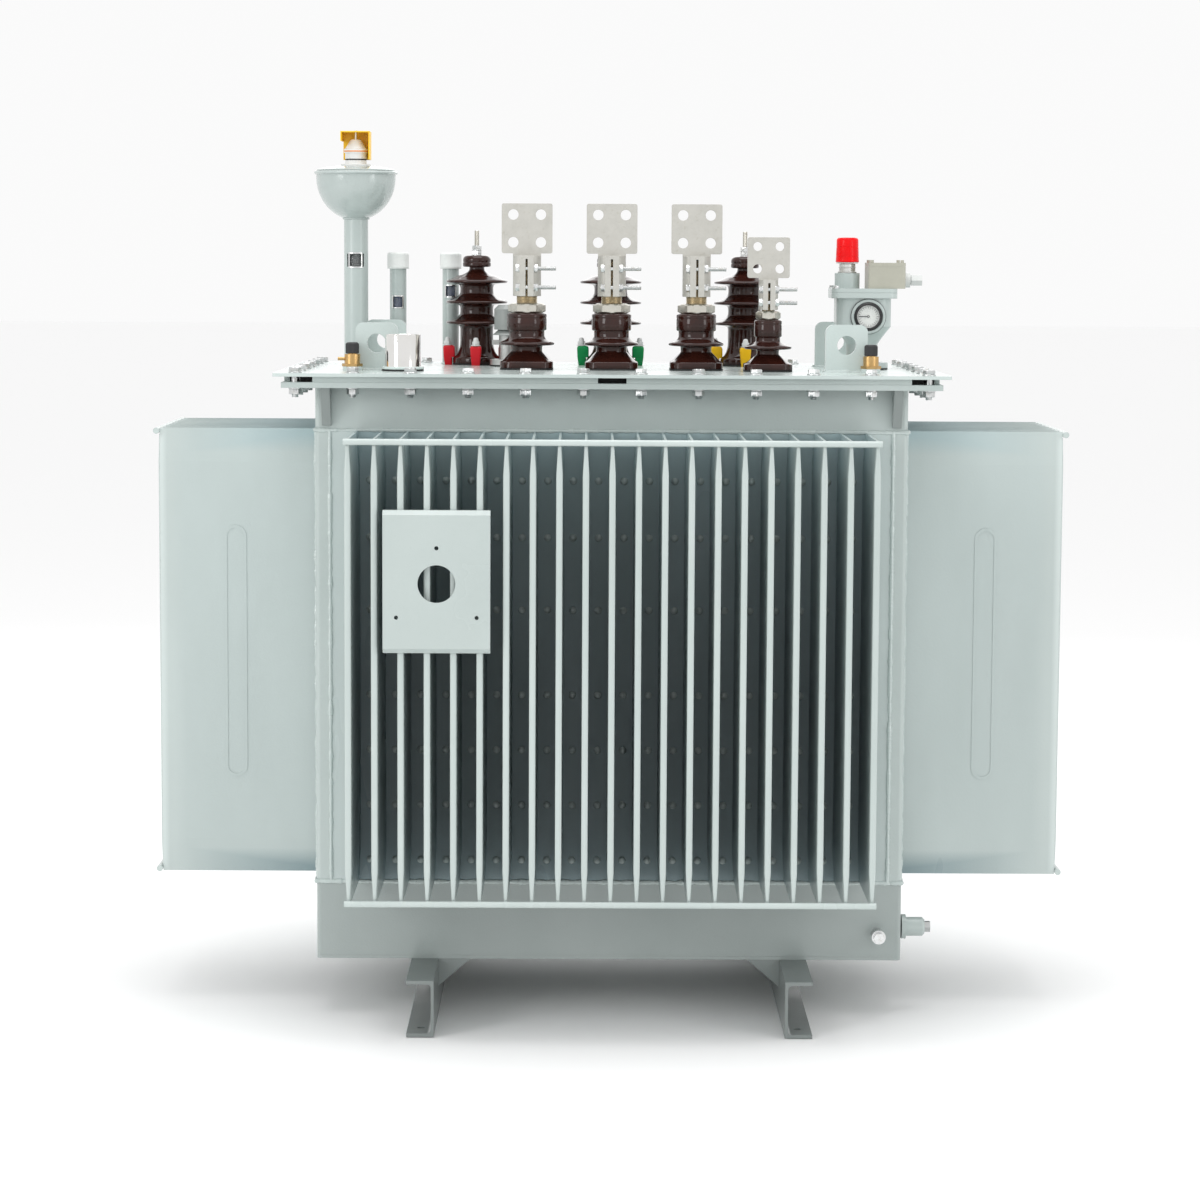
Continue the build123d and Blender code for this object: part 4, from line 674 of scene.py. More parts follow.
class Hexagon:
    """Rings of points round a nut, evenly split along its six sides."""

    def __init__(self, across, side_steps, x=0.0, y=0.0):
        step = math.pi / 3 / side_steps
        self.turns = [math.pi / 3 * i + step * j for i in range(6) for j in range(side_steps)]
        self.flat = across / 2
        self.full = across / math.sqrt(3)
        self.centre = (x, y)

    def circle(self, height, radius):
        x, y = self.centre
        return [(x + radius * math.cos(a), y + radius * math.sin(a), height) for a in self.turns]

    def sides(self, height, limit):
        """The hexagon, cut back where it is wider than the limit."""
        x, y = self.centre
        ring = []
        for a in self.turns:
            reach = min(self.flat / math.cos(a % (math.pi / 3) - math.pi / 6), limit)
            ring.append((x + reach * math.cos(a), y + reach * math.sin(a), height))
        return ring


def nut(shape, across, low, high, bore=0.0):
    """A six-sided nut or bolt head whose corners are turned down at its ends."""
    six = Hexagon(across, 8)
    rim = six.flat * 0.97
    drop = (six.full - rim) * 0.5
    rows = [six.sides(low, rim), six.sides(low + drop, six.full)]
    rows += [six.sides(high - drop, six.full), six.sides(high, rim)]
    if bore:
        shape.rings(rows + [six.circle(high, bore), six.circle(low, bore)], closed=True)
    else:
        shape.rings([[(0, 0, low)]] + rows + [[(0, 0, high)]])


def washer(shape, radius, low, high, steps, bore=0.0, ease=0.0002, rise=0.0003):
    """A flat ring with eased edges, or a disc where nothing shows of its hole."""
    outline = [(bore, low), (radius - ease, low), (radius, low + rise)]
    outline += [(radius, high - rise), (radius - ease, high), (bore, high)]
    shape.turned(outline, (0, 0, 0), steps=steps)


def threaded(shape, radius, low, high, pitch, steps=14, end=0.0006):
    """A stud with turned thread ridges and chamfered ends."""
    outline = [(0.0, low), (radius - pitch * 0.5, low)]
    turns = max(1, int((high - low - end) / pitch))
    step = (high - low - end) / turns
    for i in range(turns):
        outline += [(radius - pitch * 0.45, low + i * step), (radius, low + (i + 0.5) * step)]
    outline += [(radius - pitch * 0.5, high - end), (radius - pitch * 0.5 - end, high), (0.0, high)]
    shape.turned(outline, (0, 0, 0), steps=steps)


cover_bolt = Shape()
washer(cover_bolt, 0.012, 0.0, 0.002, 28, ease=0.0004, rise=0.0004)
nut(cover_bolt, 0.019, 0.002, 0.0095)
drop = flange_low - cover_top
washer(cover_bolt, 0.012, drop - 0.002, drop, 28, ease=0.0004, rise=0.0004)
nut(cover_bolt, 0.019, drop - 0.012, drop - 0.002)
threaded(cover_bolt, 0.006, drop - 0.017, drop - 0.0115, 0.00175)
shank = [(0.0, drop - 0.001), (0.0058, drop - 0.001), (0.0058, 0.001), (0.0, 0.001)]
cover_bolt.turned(shank, (0, 0, 0), steps=14)
scatter(
    "cover_bolts", cover_bolt.piece("cover_bolt", zinc, None, None),
    [((x, y, cover_top), (0, 0, 1)) for x, y in bolt_row], zinc, "tank", "zinc",
    replaces=("flange_bolts",), loose_turn=3.1, seed=5, smooth=32,
)

# ---------------------------------------------------------------- lifting lugs
# Four flame-cut plates with rounded corners and one hole stand near the cover's corners,
# each welded all round its foot.
foot_z = 1.1503
lug_x, lug_y, lug_half, lug_thick = 0.423, 0.140, 0.038, 0.005
feet = []
for sx in (-1, 1):
    for sy in (-1, 1):
        x0, x1 = sx * lug_x - lug_half, sx * lug_x + lug_half
        y0, y1 = sorted((sy * lug_y - lug_thick, sy * lug_y + lug_thick))
        feet.append([(x, y, foot_z) for x, y in ((x0, y0), (x1, y0), (x1, y1), (x0, y1), (x0, y0))])
weld("weld_lugs", feet, 0.0036, seed=9, finish=pale_enamel)

# ---------------------------------------------------------------- instrument plate
# A folded plate with a large hole and three small ones hangs clear of the front fins, for a
# dial thermometer.
clothe(enamel("plate_enamel", tone=1.02, gloss=0.2), "instrument_plate")

# ---------------------------------------------------------------- drain valve, plug and earthing stud
# A short screwed valve with a six-sided plug stands out of the right end near its bottom; a
# bright bolt with a washer is the earthing point on the front.
clothe(tank_enamel, "drain_valve", "filler_pipe")
clothe(plated("plug_steel", tone=(0.55, 0.56, 0.56), rough=0.3), "drain_plug")
bright_zinc = plated("earth_bright", tone=(0.74, 0.75, 0.75), rough=0.14)
clothe(bright_zinc, "earth_stud")

# ---------------------------------------------------------------- oil filler and its bowl
# A pipe with a sight window carries a spun steel bowl with a rolled lip. The loose lid turns
# in it and holds the pressure relief valve, its lifting pin and a bent yellow hood.
fill_x, fill_y = -0.477, 0.110
bowl_low, bowl_rim = 1.420, 1.511
bowl_enamel = enamel("bowl_enamel", tone=0.93, gloss=0.08)
bowl = Shape()
bowl_straight, bowl_sheet, lip_r, pipe_r = 0.012, 0.002, 0.0032, 0.0232
bowl_depth = bowl_rim - bowl_low - bowl_straight


def bowl_wall(radius, depth):
    """The bowl's curve from its straight rim down to the pipe."""
    curve = [(r, bowl_rim - bowl_straight - z) for r, z in arc(radius, depth, 22)]
    return [point for point in curve if point[0] > pipe_r]


lip_turns = [math.pi * (-0.55 + 1.3 * i / 10) for i in range(11)]
profile = [
    (0.0229, bowl_low + 0.0035)
] + bowl_wall(0.0740, bowl_depth)[::-1] + [(0.0742, bowl_rim - 0.0075)]
profile += [(0.0748 + lip_r * math.cos(a), bowl_rim - lip_r + lip_r * math.sin(a)) for a in lip_turns]
profile += [(0.0720, bowl_rim - 0.002)] + bowl_wall(0.0720, bowl_depth - bowl_sheet)
profile += [(0.0229, bowl_low + 0.0060)]
bowl.turned(profile, (fill_x, fill_y, 0), steps=72)
bowl.piece("filler_bowl", bowl_enamel, "tank", "paint", replaces=("oil_bowl",), smooth=50)
bowl_seam = round_route(fill_x, fill_y, bowl_low + 0.0035, pipe_r, 36)
weld("weld_bowl", bowl_seam, 0.0022, seed=13, finish=bowl_enamel)
pipe_seam = round_route(fill_x, fill_y, foot_z, 0.0228, 36)
weld("weld_pipe", pipe_seam, 0.0034, seed=14, finish=pale_enamel)

lid_shape = Shape()
lid_low, lid_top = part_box("bowl_lid")[0].z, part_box("bowl_lid")[1].z
rim_z = bowl_rim + 0.0003
lid_shape.turned(
    [(0.0, rim_z), (0.0688, rim_z), (0.0688, lid_low), (0.0708, lid_low), (0.0708, rim_z),
     (0.0722, rim_z),
     (0.0727, rim_z + 0.0008), (0.0724, rim_z + 0.0022), (0.0700, rim_z + 0.0032),
     (0.058, lid_top - 0.003),
     (0.045, lid_top - 0.0009), (0.036, lid_top), (0.0, lid_top)],
    (fill_x, fill_y, 0), steps=72,
)
lid_shape.piece("filler_lid", bowl_enamel, "lid", "paint", replaces=("bowl_lid",), smooth=35)


def moulded(name, colour, dark, rough=0.4, coat=0.0, shine=0.5):
    """Moulded or cast part in one colour, slightly mottled, with soft scuffs."""
    skin = Finish(name, Coat_Roughness=0.15, Specular_IOR_Level=shine)
    tone = skin.between(skin.noise(26.0, 4.0), 0.32, 0.72)
    scuff = skin.between(skin.noise(170.0, 4.0, 0.7), 0.60, 0.78)
    mix = skin.blend(tone * 0.6, rgba(*colour), rgba(*dark))
    mix = skin.blend(scuff * 0.25, mix, rgba(*[min(1.0, c * 1.25 + 0.02) for c in colour]))
    skin.set(
        Base_Color=mix, Roughness=tone * 0.1 + scuff * 0.15 + rough,
        Coat_Weight=skin.between(tone, -1.0, 1.0) * coat,
    )
    return skin.relief(skin.noise(160.0, 3.0), 0.0003)


valve_metal = moulded("relief_cast", (0.78, 0.78, 0.76), (0.60, 0.61, 0.60), rough=0.32)
vz = lid_top
relief = Shape()
relief.turned(
    [(0.0, vz), (0.0275, vz), (0.028, vz + 0.0006), (0.028, vz + 0.0034), (0.0275, vz + 0.004),
     (0.0205, vz + 0.004),
     (0.020, vz + 0.0045), (0.020, vz + 0.0105), (0.0188, vz + 0.0112), (0.0188, vz + 0.0128),
     (0.020, vz + 0.0135), (0.020, vz + 0.024),
     (0.0215, vz + 0.024), (0.022, vz + 0.0246), (0.022, vz + 0.0314), (0.0215, vz + 0.032),
     (0.0195, vz + 0.0325), (0.0110, vz + 0.0465),
     (0.0090, vz + 0.049), (0.0030, vz + 0.049), (0.0030, vz + 0.029), (0.0, vz + 0.029)],
    (fill_x, fill_y, 0), steps=56,
)
relief.piece(
    "relief_valve_body", valve_metal, "lid", "valve_white", replaces=("relief_valve",), smooth=32,
)
band = Shape()
band.turned(
    [(0.0221, vz + 0.0262), (0.0225, vz + 0.0266), (0.0225, vz + 0.0280), (0.0221, vz + 0.0284)],
    (fill_x, fill_y, 0), steps=56,
)
band.piece(
    "relief_valve_band", moulded("band_orange", (0.82, 0.27, 0.03), (0.62, 0.2, 0.03), rough=0.35),
    "lid", "yellow_paint",
)
ring = Shape()
ring.turned(
    [(0.0189, vz + 0.0112), (0.0206, vz + 0.0114), (0.0206, vz + 0.0126), (0.0189, vz + 0.0128)],
    (fill_x, fill_y, 0), steps=56,
)
ring.piece("relief_valve_seal", black_rubber, "lid", "rubber")
clothe(plated("pin_steel", tone=(0.7, 0.7, 0.68), rough=0.2), "relief_pin")
clothe(moulded("hood_yellow", (0.96, 0.60, 0.015), (0.86, 0.48, 0.010), rough=0.36), "valve_hood")
clothe(moulded("float_black", (0.012, 0.013, 0.015), (0.03, 0.03, 0.03), rough=0.45), "filler_float")


def window_frame(name, x, y, radius, low, high, half):
    """A thin bright frame lying round a sight window on the front of a pipe."""
    lap, rise = 0.0022, 0.0007
    edge = half + lap
    push = (radius + rise) / radius
    level = [(-1 + 2 * i / 12) * edge for i in range(13)]
    bars = [(level, low - lap, low), (level, high, high + lap)]
    for sign in (-1, 1):
        bars.append(([sign * s for s in (half, half + lap * 0.5, edge)], low, high))
    bent = Shape()
    for span, z0, z1 in bars:
        rings = []
        for s in span:
            out = math.sqrt(radius ** 2 - s ** 2)
            near, far = (x + s, y - out), (x + s * push, y - out * push)
            rings.append([(*near, z0), (*far, z0), (*far, z1), (*near, z1)])
        bent.loft(rings)
    bent.piece(name, bright_zinc, "tank", "zinc", smooth=30)


window_frame("filler_window_frame", fill_x, fill_y, 0.0225, 1.334, 1.358, 0.0105)

# ---------------------------------------------------------------- level tubes
# Two short pipes with small sight windows and coloured inserts, under ribbed milky caps.
clothe(enamel("tube_enamel", tone=1.02, gloss=0.18), "level_tubes")
clothe(moulded("insert_navy", (0.010, 0.022, 0.09), (0.02, 0.035, 0.085), rough=0.3), "tube_inserts")


def ribbed_cap(kind, side, x, y, rows, rib_depth, steps, finish, slot, smooth):
    """A hollow cap from (radius, height, ribbed) rows; ribs are dips at every second point."""
    turns = [2 * math.pi * i / steps for i in range(steps)]
    rings = [[(x, y, rows[0][1])]]
    for radius, z, ribbed in rows:
        reach = [radius - rib_depth * ribbed * (i % 2) for i in range(steps)]
        rings.append([(x + r * math.cos(a), y + r * math.sin(a), z) for r, a in zip(reach, turns)])
    rings.append([(x, y, rows[-1][1])])
    cap = Shape()
    cap.rings(rings)
    body = f"{kind}_cap_{side}"
    cap.piece(f"{kind}_{side}_cap", finish, body, slot, replaces=(body,), smooth=smooth)


milky = moulded("cap_milky", (0.80, 0.82, 0.80), (0.68, 0.71, 0.70), rough=0.34)
low, high = 1.330, 1.361
tube_cap_rows = (
    (0.0161, low + 0.0285, 0), (0.0161, low, 0), (0.0197, low, 0), (0.0203, low + 0.0006, 0),
    (0.0205, low + 0.0050, 0), (0.0205, low + 0.0056, 1), (0.0205, high - 0.0050, 1),
    (0.0203, high - 0.0042, 0), (0.0198, high - 0.0018, 0), (0.0180, high, 0),
)
for side, x, y, sill in (("left", -0.402, 0.170, 1.258), ("right", -0.305, 0.230, 1.278)):
    ribbed_cap("tube", side, x, y, tube_cap_rows, 0.0006, 60, milky, "white_plastic", 50)
    window_frame(f"tube_{side}_frame", x, y, 0.0158, sill, sill + 0.020, 0.0085)
    weld(f"weld_tube_{side}", round_route(x, y, foot_z, 0.016, 30), 0.0026, seed=17, finish=pale_enamel)

# ---------------------------------------------------------------- vent cylinder
# A short bright stainless cylinder stands on a white flange and a black gasket.
chrome = Finish("vent_stainless", Metallic=1.0)
streaks = chrome.noise(70.0, 3.0, stretch=(1, 1, 0.02))
smear = chrome.between(chrome.noise(20.0, 4.0), 0.4, 0.7)
chrome.set(
    Base_Color=chrome.blend(smear * 0.4, rgba(0.80, 0.79, 0.77), rgba(0.68, 0.66, 0.62)),
    Roughness=streaks * 0.08 + smear * 0.06 + 0.03,
)
chrome.relief(streaks, 0.00015)
low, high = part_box("vent_cylinder")
vent = Shape()
vent_x, vent_y = (low.x + high.x) / 2, (low.y + high.y) / 2
vr = 0.0315
vent.turned(
    [(vr - 0.0015, low.z + 0.0004), (vr + 0.0004, low.z + 0.0046), (vr, low.z + 0.0055),
     (vr, high.z - 0.0012), (vr - 0.0006, high.z - 0.0002),
     (vr - 0.0012, high.z), (vr - 0.0022, high.z - 0.0008), (vr - 0.0026, high.z - 0.003),
     (vr - 0.0026, low.z + 0.0004)],
    (vent_x, vent_y, 0), steps=72,
)
vent.piece("vent_shell", chrome, "tank", "stainless", replaces=("vent_cylinder",), smooth=40)
plinth = Shape()
plinth.turned(
    [
        (vr - 0.0026, low.z), (0.0368, low.z), (0.0375, low.z + 0.0008), (0.0375, low.z + 0.0040),
        (0.0366, low.z + 0.0050), (vr - 0.0026, low.z + 0.0050),
    ],
    (vent_x, vent_y, 0), steps=72,
)
plinth.piece(
    "vent_flange", enamel("vent_flange_enamel", tone=1.35, gloss=0.2), "tank", "stainless", smooth=40,
)

# ---------------------------------------------------------------- thermometer pockets
# Two brass pockets screwed into painted bosses, each closed by a knurled black cap.
brass = plated("pocket_brass", tone=(0.62, 0.40, 0.17), rough=0.22, tint=(0.30, 0.17, 0.07))
black_cap = moulded("cap_black", (0.018, 0.018, 0.020), (0.035, 0.035, 0.036), rough=0.42)
for side in ("left", "right"):
    low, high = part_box(f"pocket_cap_{side}")
    radius = (high.x - low.x) / 2
    rows = (
        (0.0083, low.z + 0.0143, 0), (0.0083, low.z, 0), (radius - 0.0010, low.z, 0),
        (radius - 0.0002, low.z + 0.0008, 0), (radius, low.z + 0.0016, 1), (radius, high.z - 0.0034, 1),
        (radius - 0.0007, high.z - 0.0020, 0), (radius - 0.0022, high.z - 0.0005, 0),
        (radius - 0.0038, high.z, 0), (radius - 0.0055, high.z - 0.0008, 0),
    )
    x, y = (low.x + high.x) / 2, (low.y + high.y) / 2
    ribbed_cap("pocket", side, x, y, rows, 0.0008, 96, black_cap, "black_plastic", 55)
clothe(brass, "pocket_bodies")

# ---------------------------------------------------------------- protection relay
# A cast box on a round foot watches the oil. Its head plate carries a relief valve under a
# loose red cap and a beige terminal box with a cable gland; a small dial faces the front.
cast_enamel = enamel("relay_enamel", tone=1.08, gloss=0.3, soften=0.003)
clothe(cast_enamel, "relay_body", "relay_head")
clothe(moulded("box_beige", (0.44, 0.435, 0.365), (0.37, 0.365, 0.31), rough=0.4), "terminal_box")
grey_plastic = moulded("gland_grey", (0.66, 0.68, 0.67), (0.52, 0.54, 0.53), rough=0.38)
clothe(grey_plastic, "cable_gland", "gland_nut")
relay_x, relay_y = 0.464, 0.020
neck_x = 0.435
neck = Shape()
neck.turned(
    [(0.0, 1.327), (0.0165, 1.327), (0.0175, 1.3278), (0.0175, 1.3296), (0.0150, 1.3304),
     (0.0150, 1.3360), (0.0162, 1.3366), (0.0162, 1.3376),
     (0.0150, 1.3382), (0.0150, 1.3432), (0.0142, 1.3440), (0.0120, 1.3440), (0.0120, 1.3752),
     (0.0112, 1.3760), (0.0, 1.3760)],
    (neck_x, relay_y, 0), steps=48,
)
neck.piece(
    "relay_neck", plated("neck_metal", tone=(0.74, 0.74, 0.72), rough=0.24), "tank", "zinc",
    replaces=("relay_valve",), smooth=32,
)
red = moulded("cap_red", (0.86, 0.004, 0.006), (0.66, 0.003, 0.005), rough=0.24, coat=0.1, shine=0.15)
cap = Shape()
cap.turned(
    [(0.0, 1.3763), (0.0123, 1.3763), (0.0123, 1.347), (0.0210, 1.347), (0.0216, 1.3476),
     (0.0216, 1.3500), (0.0213, 1.3508), (0.0211, 1.3562),
     (0.0207, 1.3566), (0.0207, 1.3574), (0.0210, 1.3578), (0.0204, 1.3740), (0.0200, 1.3744),
     (0.0200, 1.3752), (0.0203, 1.3756),
     (0.0201, 1.3872), (0.0194, 1.3896), (0.0180, 1.3912), (0.0160, 1.3920), (0.0, 1.3920)],
    (neck_x, relay_y, 0), steps=72,
)
cap.piece("relay_red_cap", red, "relay_cap", "red_plastic", replaces=("relay_cap",), smooth=30)
skirt = Shape()
skirt.turned(
    [
        (0.0152, 1.3445), (0.0196, 1.3445), (0.0200, 1.3449), (0.0200, 1.3463), (0.0196, 1.3467),
        (0.0152, 1.3467),
    ],
    (neck_x, relay_y, 0), steps=60,
)
skirt.piece("relay_cap_seat", grey_plastic, "tank", "gland_grey", smooth=32)

dial_x, dial_z, dial_y = 0.471, 1.248, -0.028
facing = Vector((0, -1, 0)).to_track_quat("Z", "Y").to_matrix()
bezel = Shape()
bezel.turned(
    [
        (0.0210, 0.0040), (0.0210, 0.0086), (0.0216, 0.0090), (0.0238, 0.0088), (0.0250, 0.0078),
        (0.0252, 0.0060), (0.0260, 0.0042), (0.0312, 0.0038), (0.0325, 0.0030), (0.0325, 0.0),
        (0.0, 0.0), (0.0, 0.0015), (0.0208, 0.0015), (0.0208, 0.0040),
    ],
    (dial_x, dial_y, dial_z), steps=72, frame_turn=facing,
)
gunmetal = moulded("bezel_dark", (0.012, 0.012, 0.013), (0.03, 0.03, 0.03), rough=0.3)
bezel.piece("relay_bezel", gunmetal, "tank", "dial", replaces=("relay_dial",), smooth=34)
collar = Shape()
collar.turned(
    [
        (0.0258, 0.0041), (0.0266, 0.0052), (0.0306, 0.0050), (0.0318, 0.0040), (0.0318, 0.0034),
        (0.0258, 0.0034),
    ],
    (dial_x, dial_y, dial_z), steps=72, frame_turn=facing,
)
collar.piece("relay_collar", cast_enamel, "tank", "dial", smooth=34)

face = Finish("dial_face", Coat_Weight=0.2)
spot = face.node("SeparateXYZ", output="X", Vector=face.place) - dial_x
rise = face.node("SeparateXYZ", output="Z", Vector=face.place) - dial_z
reach = (spot * spot + rise * rise) ** 0.5
turn = face.node("Math", {"operation": "ARCTAN2"}, _0=rise, _1=spot)
tick_count = 24
comb = face.node("Math", {"operation": "FRACT"}, _0=turn * (tick_count / full_turn))
tick = face.between(comb, 0.20, 0.12) * face.between(
    reach, 0.0148, 0.0150,
) * face.between(reach, 0.0182, 0.0180)
arcs = face.between(reach, 0.0183, 0.0184) * face.between(reach, 0.0188, 0.0187)
grime = face.between(face.noise(180.0, 4.0), 0.45, 0.75)
paper = face.blend(grime * 0.3, rgba(0.86, 0.87, 0.84), rgba(0.62, 0.62, 0.58))
paper = face.blend(tick + arcs, paper, rgba(0.03, 0.03, 0.035))
face.set(Base_Color=paper, Roughness=grime * 0.2 + 0.35)
face.relief(grime, 0.00005)
plate = Shape()
plate.turned(
    [
        (0.0, 0.00155), (0.0205, 0.00155), (0.0205, 0.0020), (0.0010, 0.0020), (0.00095, 0.0020),
        (0.00095, 0.0045), (0.0, 0.0045),
    ],
    (dial_x, dial_y, dial_z), steps=60, frame_turn=facing,
)
plate.piece("relay_face", face, "tank", "dial", smooth=30)
clothe(moulded("needle_black", (0.02, 0.02, 0.022), (0.04, 0.04, 0.04), rough=0.35), "relay_needle")

glass = Finish("sight_glass", Coat_Weight=0.25, Coat_Roughness=0.03)
wisps = glass.between(glass.noise(60.0, 3.0), 0.4, 0.7)
glass.set(
    Base_Color=glass.blend(wisps, rgba(0.80, 0.84, 0.84), rgba(0.72, 0.76, 0.76)),
    Alpha=wisps * 0.05 + 0.06,
    Roughness=wisps * 0.06 + 0.03,
)
glass.relief(wisps, 0.00005)
clothe(glass, "sight_glasses")

head_bolt = Shape()
washer(head_bolt, 0.0064, 0.0, 0.0012, 18)
nut(head_bolt, 0.010, 0.0012, 0.0052)
bolt_spots = [((relay_x - 0.0525, relay_y + sy * 0.048, 1.299), (0, 0, 1)) for sy in (-1, 1)]
foot_bolt_r = 0.036
for i in range(4):
    a = math.pi / 4 + math.pi / 2 * i
    place = (relay_x + foot_bolt_r * math.cos(a), relay_y + foot_bolt_r * math.sin(a), 1.163)
    bolt_spots.append((place, (0, 0, 1)))
scatter(
    "relay_bolts", head_bolt.piece("relay_bolt", zinc, None, None), bolt_spots, zinc, "tank", "zinc",
    loose_turn=3.0, seed=8, smooth=32,
)

# ---------------------------------------------------------------- high-voltage bushings
# Three tall stacks of glazed porcelain sheds, each with a scalloped cap, a threaded stud and
# two nuts. Four clamps under coloured boots hold each foot, one colour for each phase.
glaze = Finish("brown_glaze", Coat_Weight=0.55, Coat_Roughness=0.02, Specular_IOR_Level=0.15)
pool = glaze.between(glaze.noise(34.0, 4.0), 0.35, 0.7)
specks = glaze.between(glaze.noise(700.0, 2.0), 0.66, 0.74)
earth = glaze.blend(pool * 0.6, rgba(0.034, 0.009, 0.006), rgba(0.014, 0.005, 0.004))
glaze.set(
    Base_Color=glaze.blend(specks * 0.25, earth, rgba(0.10, 0.04, 0.025)), Roughness=pool * 0.08 + 0.1,
)
glaze.relief(glaze.noise(48.0, 3.0), 0.0006)

seat = 1.153
bushing_spots = [(-0.253, 0.165), (0.0, 0.165), (0.253, 0.165)]
outline = [
    (5.0, -129), (27, -129), (27, 0), (44.2, 0), (45, 0.9), (45, 9), (44.3, 10.6), (41.5, 13.2),
    (38, 17), (35, 22), (32.8, 28),
    (31.4, 35), (31, 42),
]
for tip in (77, 115.5, 154):
    inner = 31
    outline += [
        (inner, tip - 12), (inner + 1.0, tip - 7.6), (inner + 3.4, tip - 5.4), (44, tip - 3.6),
        (52, tip - 2.2), (53.5, tip - 3.0), (56.4, tip - 2.6),
        (57.7, tip - 1.2), (58, tip), (57.2, tip + 1.6), (55, tip + 2.9), (49, tip + 5.0),
        (42, tip + 7.8), (36.5, tip + 10.6),
    ]
    if tip < 150:
        outline += [(33, tip + 13.6), (31.4, tip + 17), (31, tip + 21)]
outline += [
    (29, 166.0), (22, 169.4), (17.4, 172), (14.8, 175), (14, 178.5), (14.2, 180.4), (16, 181.2),
    (24.6, 181.4), (26.2, 182.6), (26.5, 184.5),
    (26.5, 188.4), (25.5, 190), (26.3, 191.8), (26.1, 196), (24.6, 199.6), (22, 202), (18.6, 203),
    (5.0, 203),
]
porcelain = Shape()
for x, y in bushing_spots:
    porcelain.turned([(r / 1000, seat + z / 1000) for r, z in outline], (x, y, 0), steps=96)
porcelain.piece("hv_bushings", glaze, "tank", "brown_glaze", replaces=("hv_porcelains",), smooth=48)

stud_steel = plated("stud_tin", tone=(0.60, 0.58, 0.53), rough=0.26, tint=(0.42, 0.36, 0.26))
studs = Shape()
top = seat + 0.203
low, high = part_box("hv_terminals")
for x, y in bushing_spots:
    outline = [(0.0, low.z), (0.0044, low.z), (0.0048, low.z + 0.0006), (0.0048, top + 0.002)]
    z = top + 0.002
    while z + 0.0015 < high.z - 0.001:
        outline += [(0.0042, z + 0.0002), (0.0048, z + 0.00075)]
        z += 0.0015
    outline += [(0.0042, high.z - 0.0008), (0.0034, high.z), (0.0, high.z)]
    studs.turned(outline, (x, y, 0), steps=20)
studs.piece("hv_studs", stud_steel, "tank", "terminal_brass", replaces=("hv_terminals",), smooth=28)
terminal_nut = Shape()
washer(terminal_nut, 0.0100, -0.0001, 0.0013, 24, bore=0.0050)
nut(terminal_nut, 0.016, 0.0013, 0.0090, 0.0049)
scatter(
    "hv_nuts", terminal_nut.piece("terminal_nut", zinc, None, None),
    [((x, y, top + i * 0.0092 + 0.0001), (0, 0, 1)) for x, y in bushing_spots for i in (0, 1)],
    bright_zinc, "tank", "zinc", loose_turn=3.0, seed=11, smooth=32,
)


def rounded(half_a, half_b, corner, steps=5):
    """Outline of a rectangle with round corners, counter-clockwise."""
    made = []
    for qx, qy, start in ((1, 1, 0), (-1, 1, 90), (-1, -1, 180), (1, -1, 270)):
        for i in range(steps + 1):
            a = math.radians(start + 90 * i / steps)
            made.append(
                (
                    qx * (half_a - corner) + corner * math.cos(a),
                    qy * (half_b - corner) + corner * math.sin(a),
                )
            )
    return made


phases = (
    ("red", (0.62, 0.012, 0.022), (0.44, 0.008, 0.016)),
    ("green", (0.004, 0.27, 0.075), (0.003, 0.18, 0.05)),
    ("yellow", (0.83, 0.50, 0.008), (0.68, 0.38, 0.006)),
)
boot_rows = (
    (1.1500, 0.0467, 0.0600, 0.0072, 0.0020), (1.1506, 0.0465, 0.0604, 0.0076, 0.0025),
    (1.1645, 0.0465, 0.0624, 0.0092, 0.0025), (1.1650, 0.0412, 0.0625, 0.0092, 0.0025),
    (1.1652, 0.0411, 0.0625, 0.0093, 0.0025), (1.1815, 0.0411, 0.0633, 0.0105, 0.0030),
    (1.1850, 0.0420, 0.0626, 0.0098, 0.0040), (1.1866, 0.0440, 0.0606, 0.0082, 0.0050),
    (1.1869, 0.0470, 0.0580, 0.0055, 0.0050),
)
angles = [math.pi / 2 * i for i in range(4)]
for (x, y), (phase, tone, dark) in zip(bushing_spots, phases):
    boot = Shape()
    for a in angles:
        out, across = Vector((math.cos(a), math.sin(a), 0)), Vector((-math.sin(a), math.cos(a), 0))
        rings = []
        for z, reach_in, reach_out, half, corner in boot_rows:
            middle, half_run = (reach_in + reach_out) / 2, (reach_out - reach_in) / 2
            rings.append([
                tuple(Vector((x, y, z)) + out * (middle + u) + across * v)
                for u, v in rounded(half_run, half, min(corner, half_run * 0.9, half * 0.9))
            ])
        boot.loft(rings)
    boot_skin = moulded(f"boot_{phase}", tone, dark, rough=0.3, coat=0.1, shine=0.2)
    boot.piece(f"boots_{phase}", boot_skin, "tank", "boot_plastic", replaces=("hv_dogs",), smooth=42)
cap_nut = Shape()
washer(cap_nut, 0.0090, 0.0, 0.0015, 24)
nut(cap_nut, 0.013, 0.0015, 0.0085)
cap_nut.turned(
    [
        (0.0, 0.0080), (0.0052, 0.0082), (0.0050, 0.0112), (0.0042, 0.0140), (0.0026, 0.0155),
        (0.0, 0.0159),
    ],
    (0, 0, 0), steps=20,
)
white_nut = moulded("cap_nut_white", (0.70, 0.71, 0.70), (0.52, 0.53, 0.53), rough=0.3)
scatter(
    "boot_nuts", cap_nut.piece("cap_nut", white_nut, None, None),
    [
        ((x + 0.055 * math.cos(a), y + 0.055 * math.sin(a), 1.1868), (0, 0, 1)) for x,
        y in bushing_spots for a in angles
    ],
    white_nut, "tank", "zinc", replaces=("clamp_hardware",), loose_turn=3.0, seed=12, smooth=32,
)

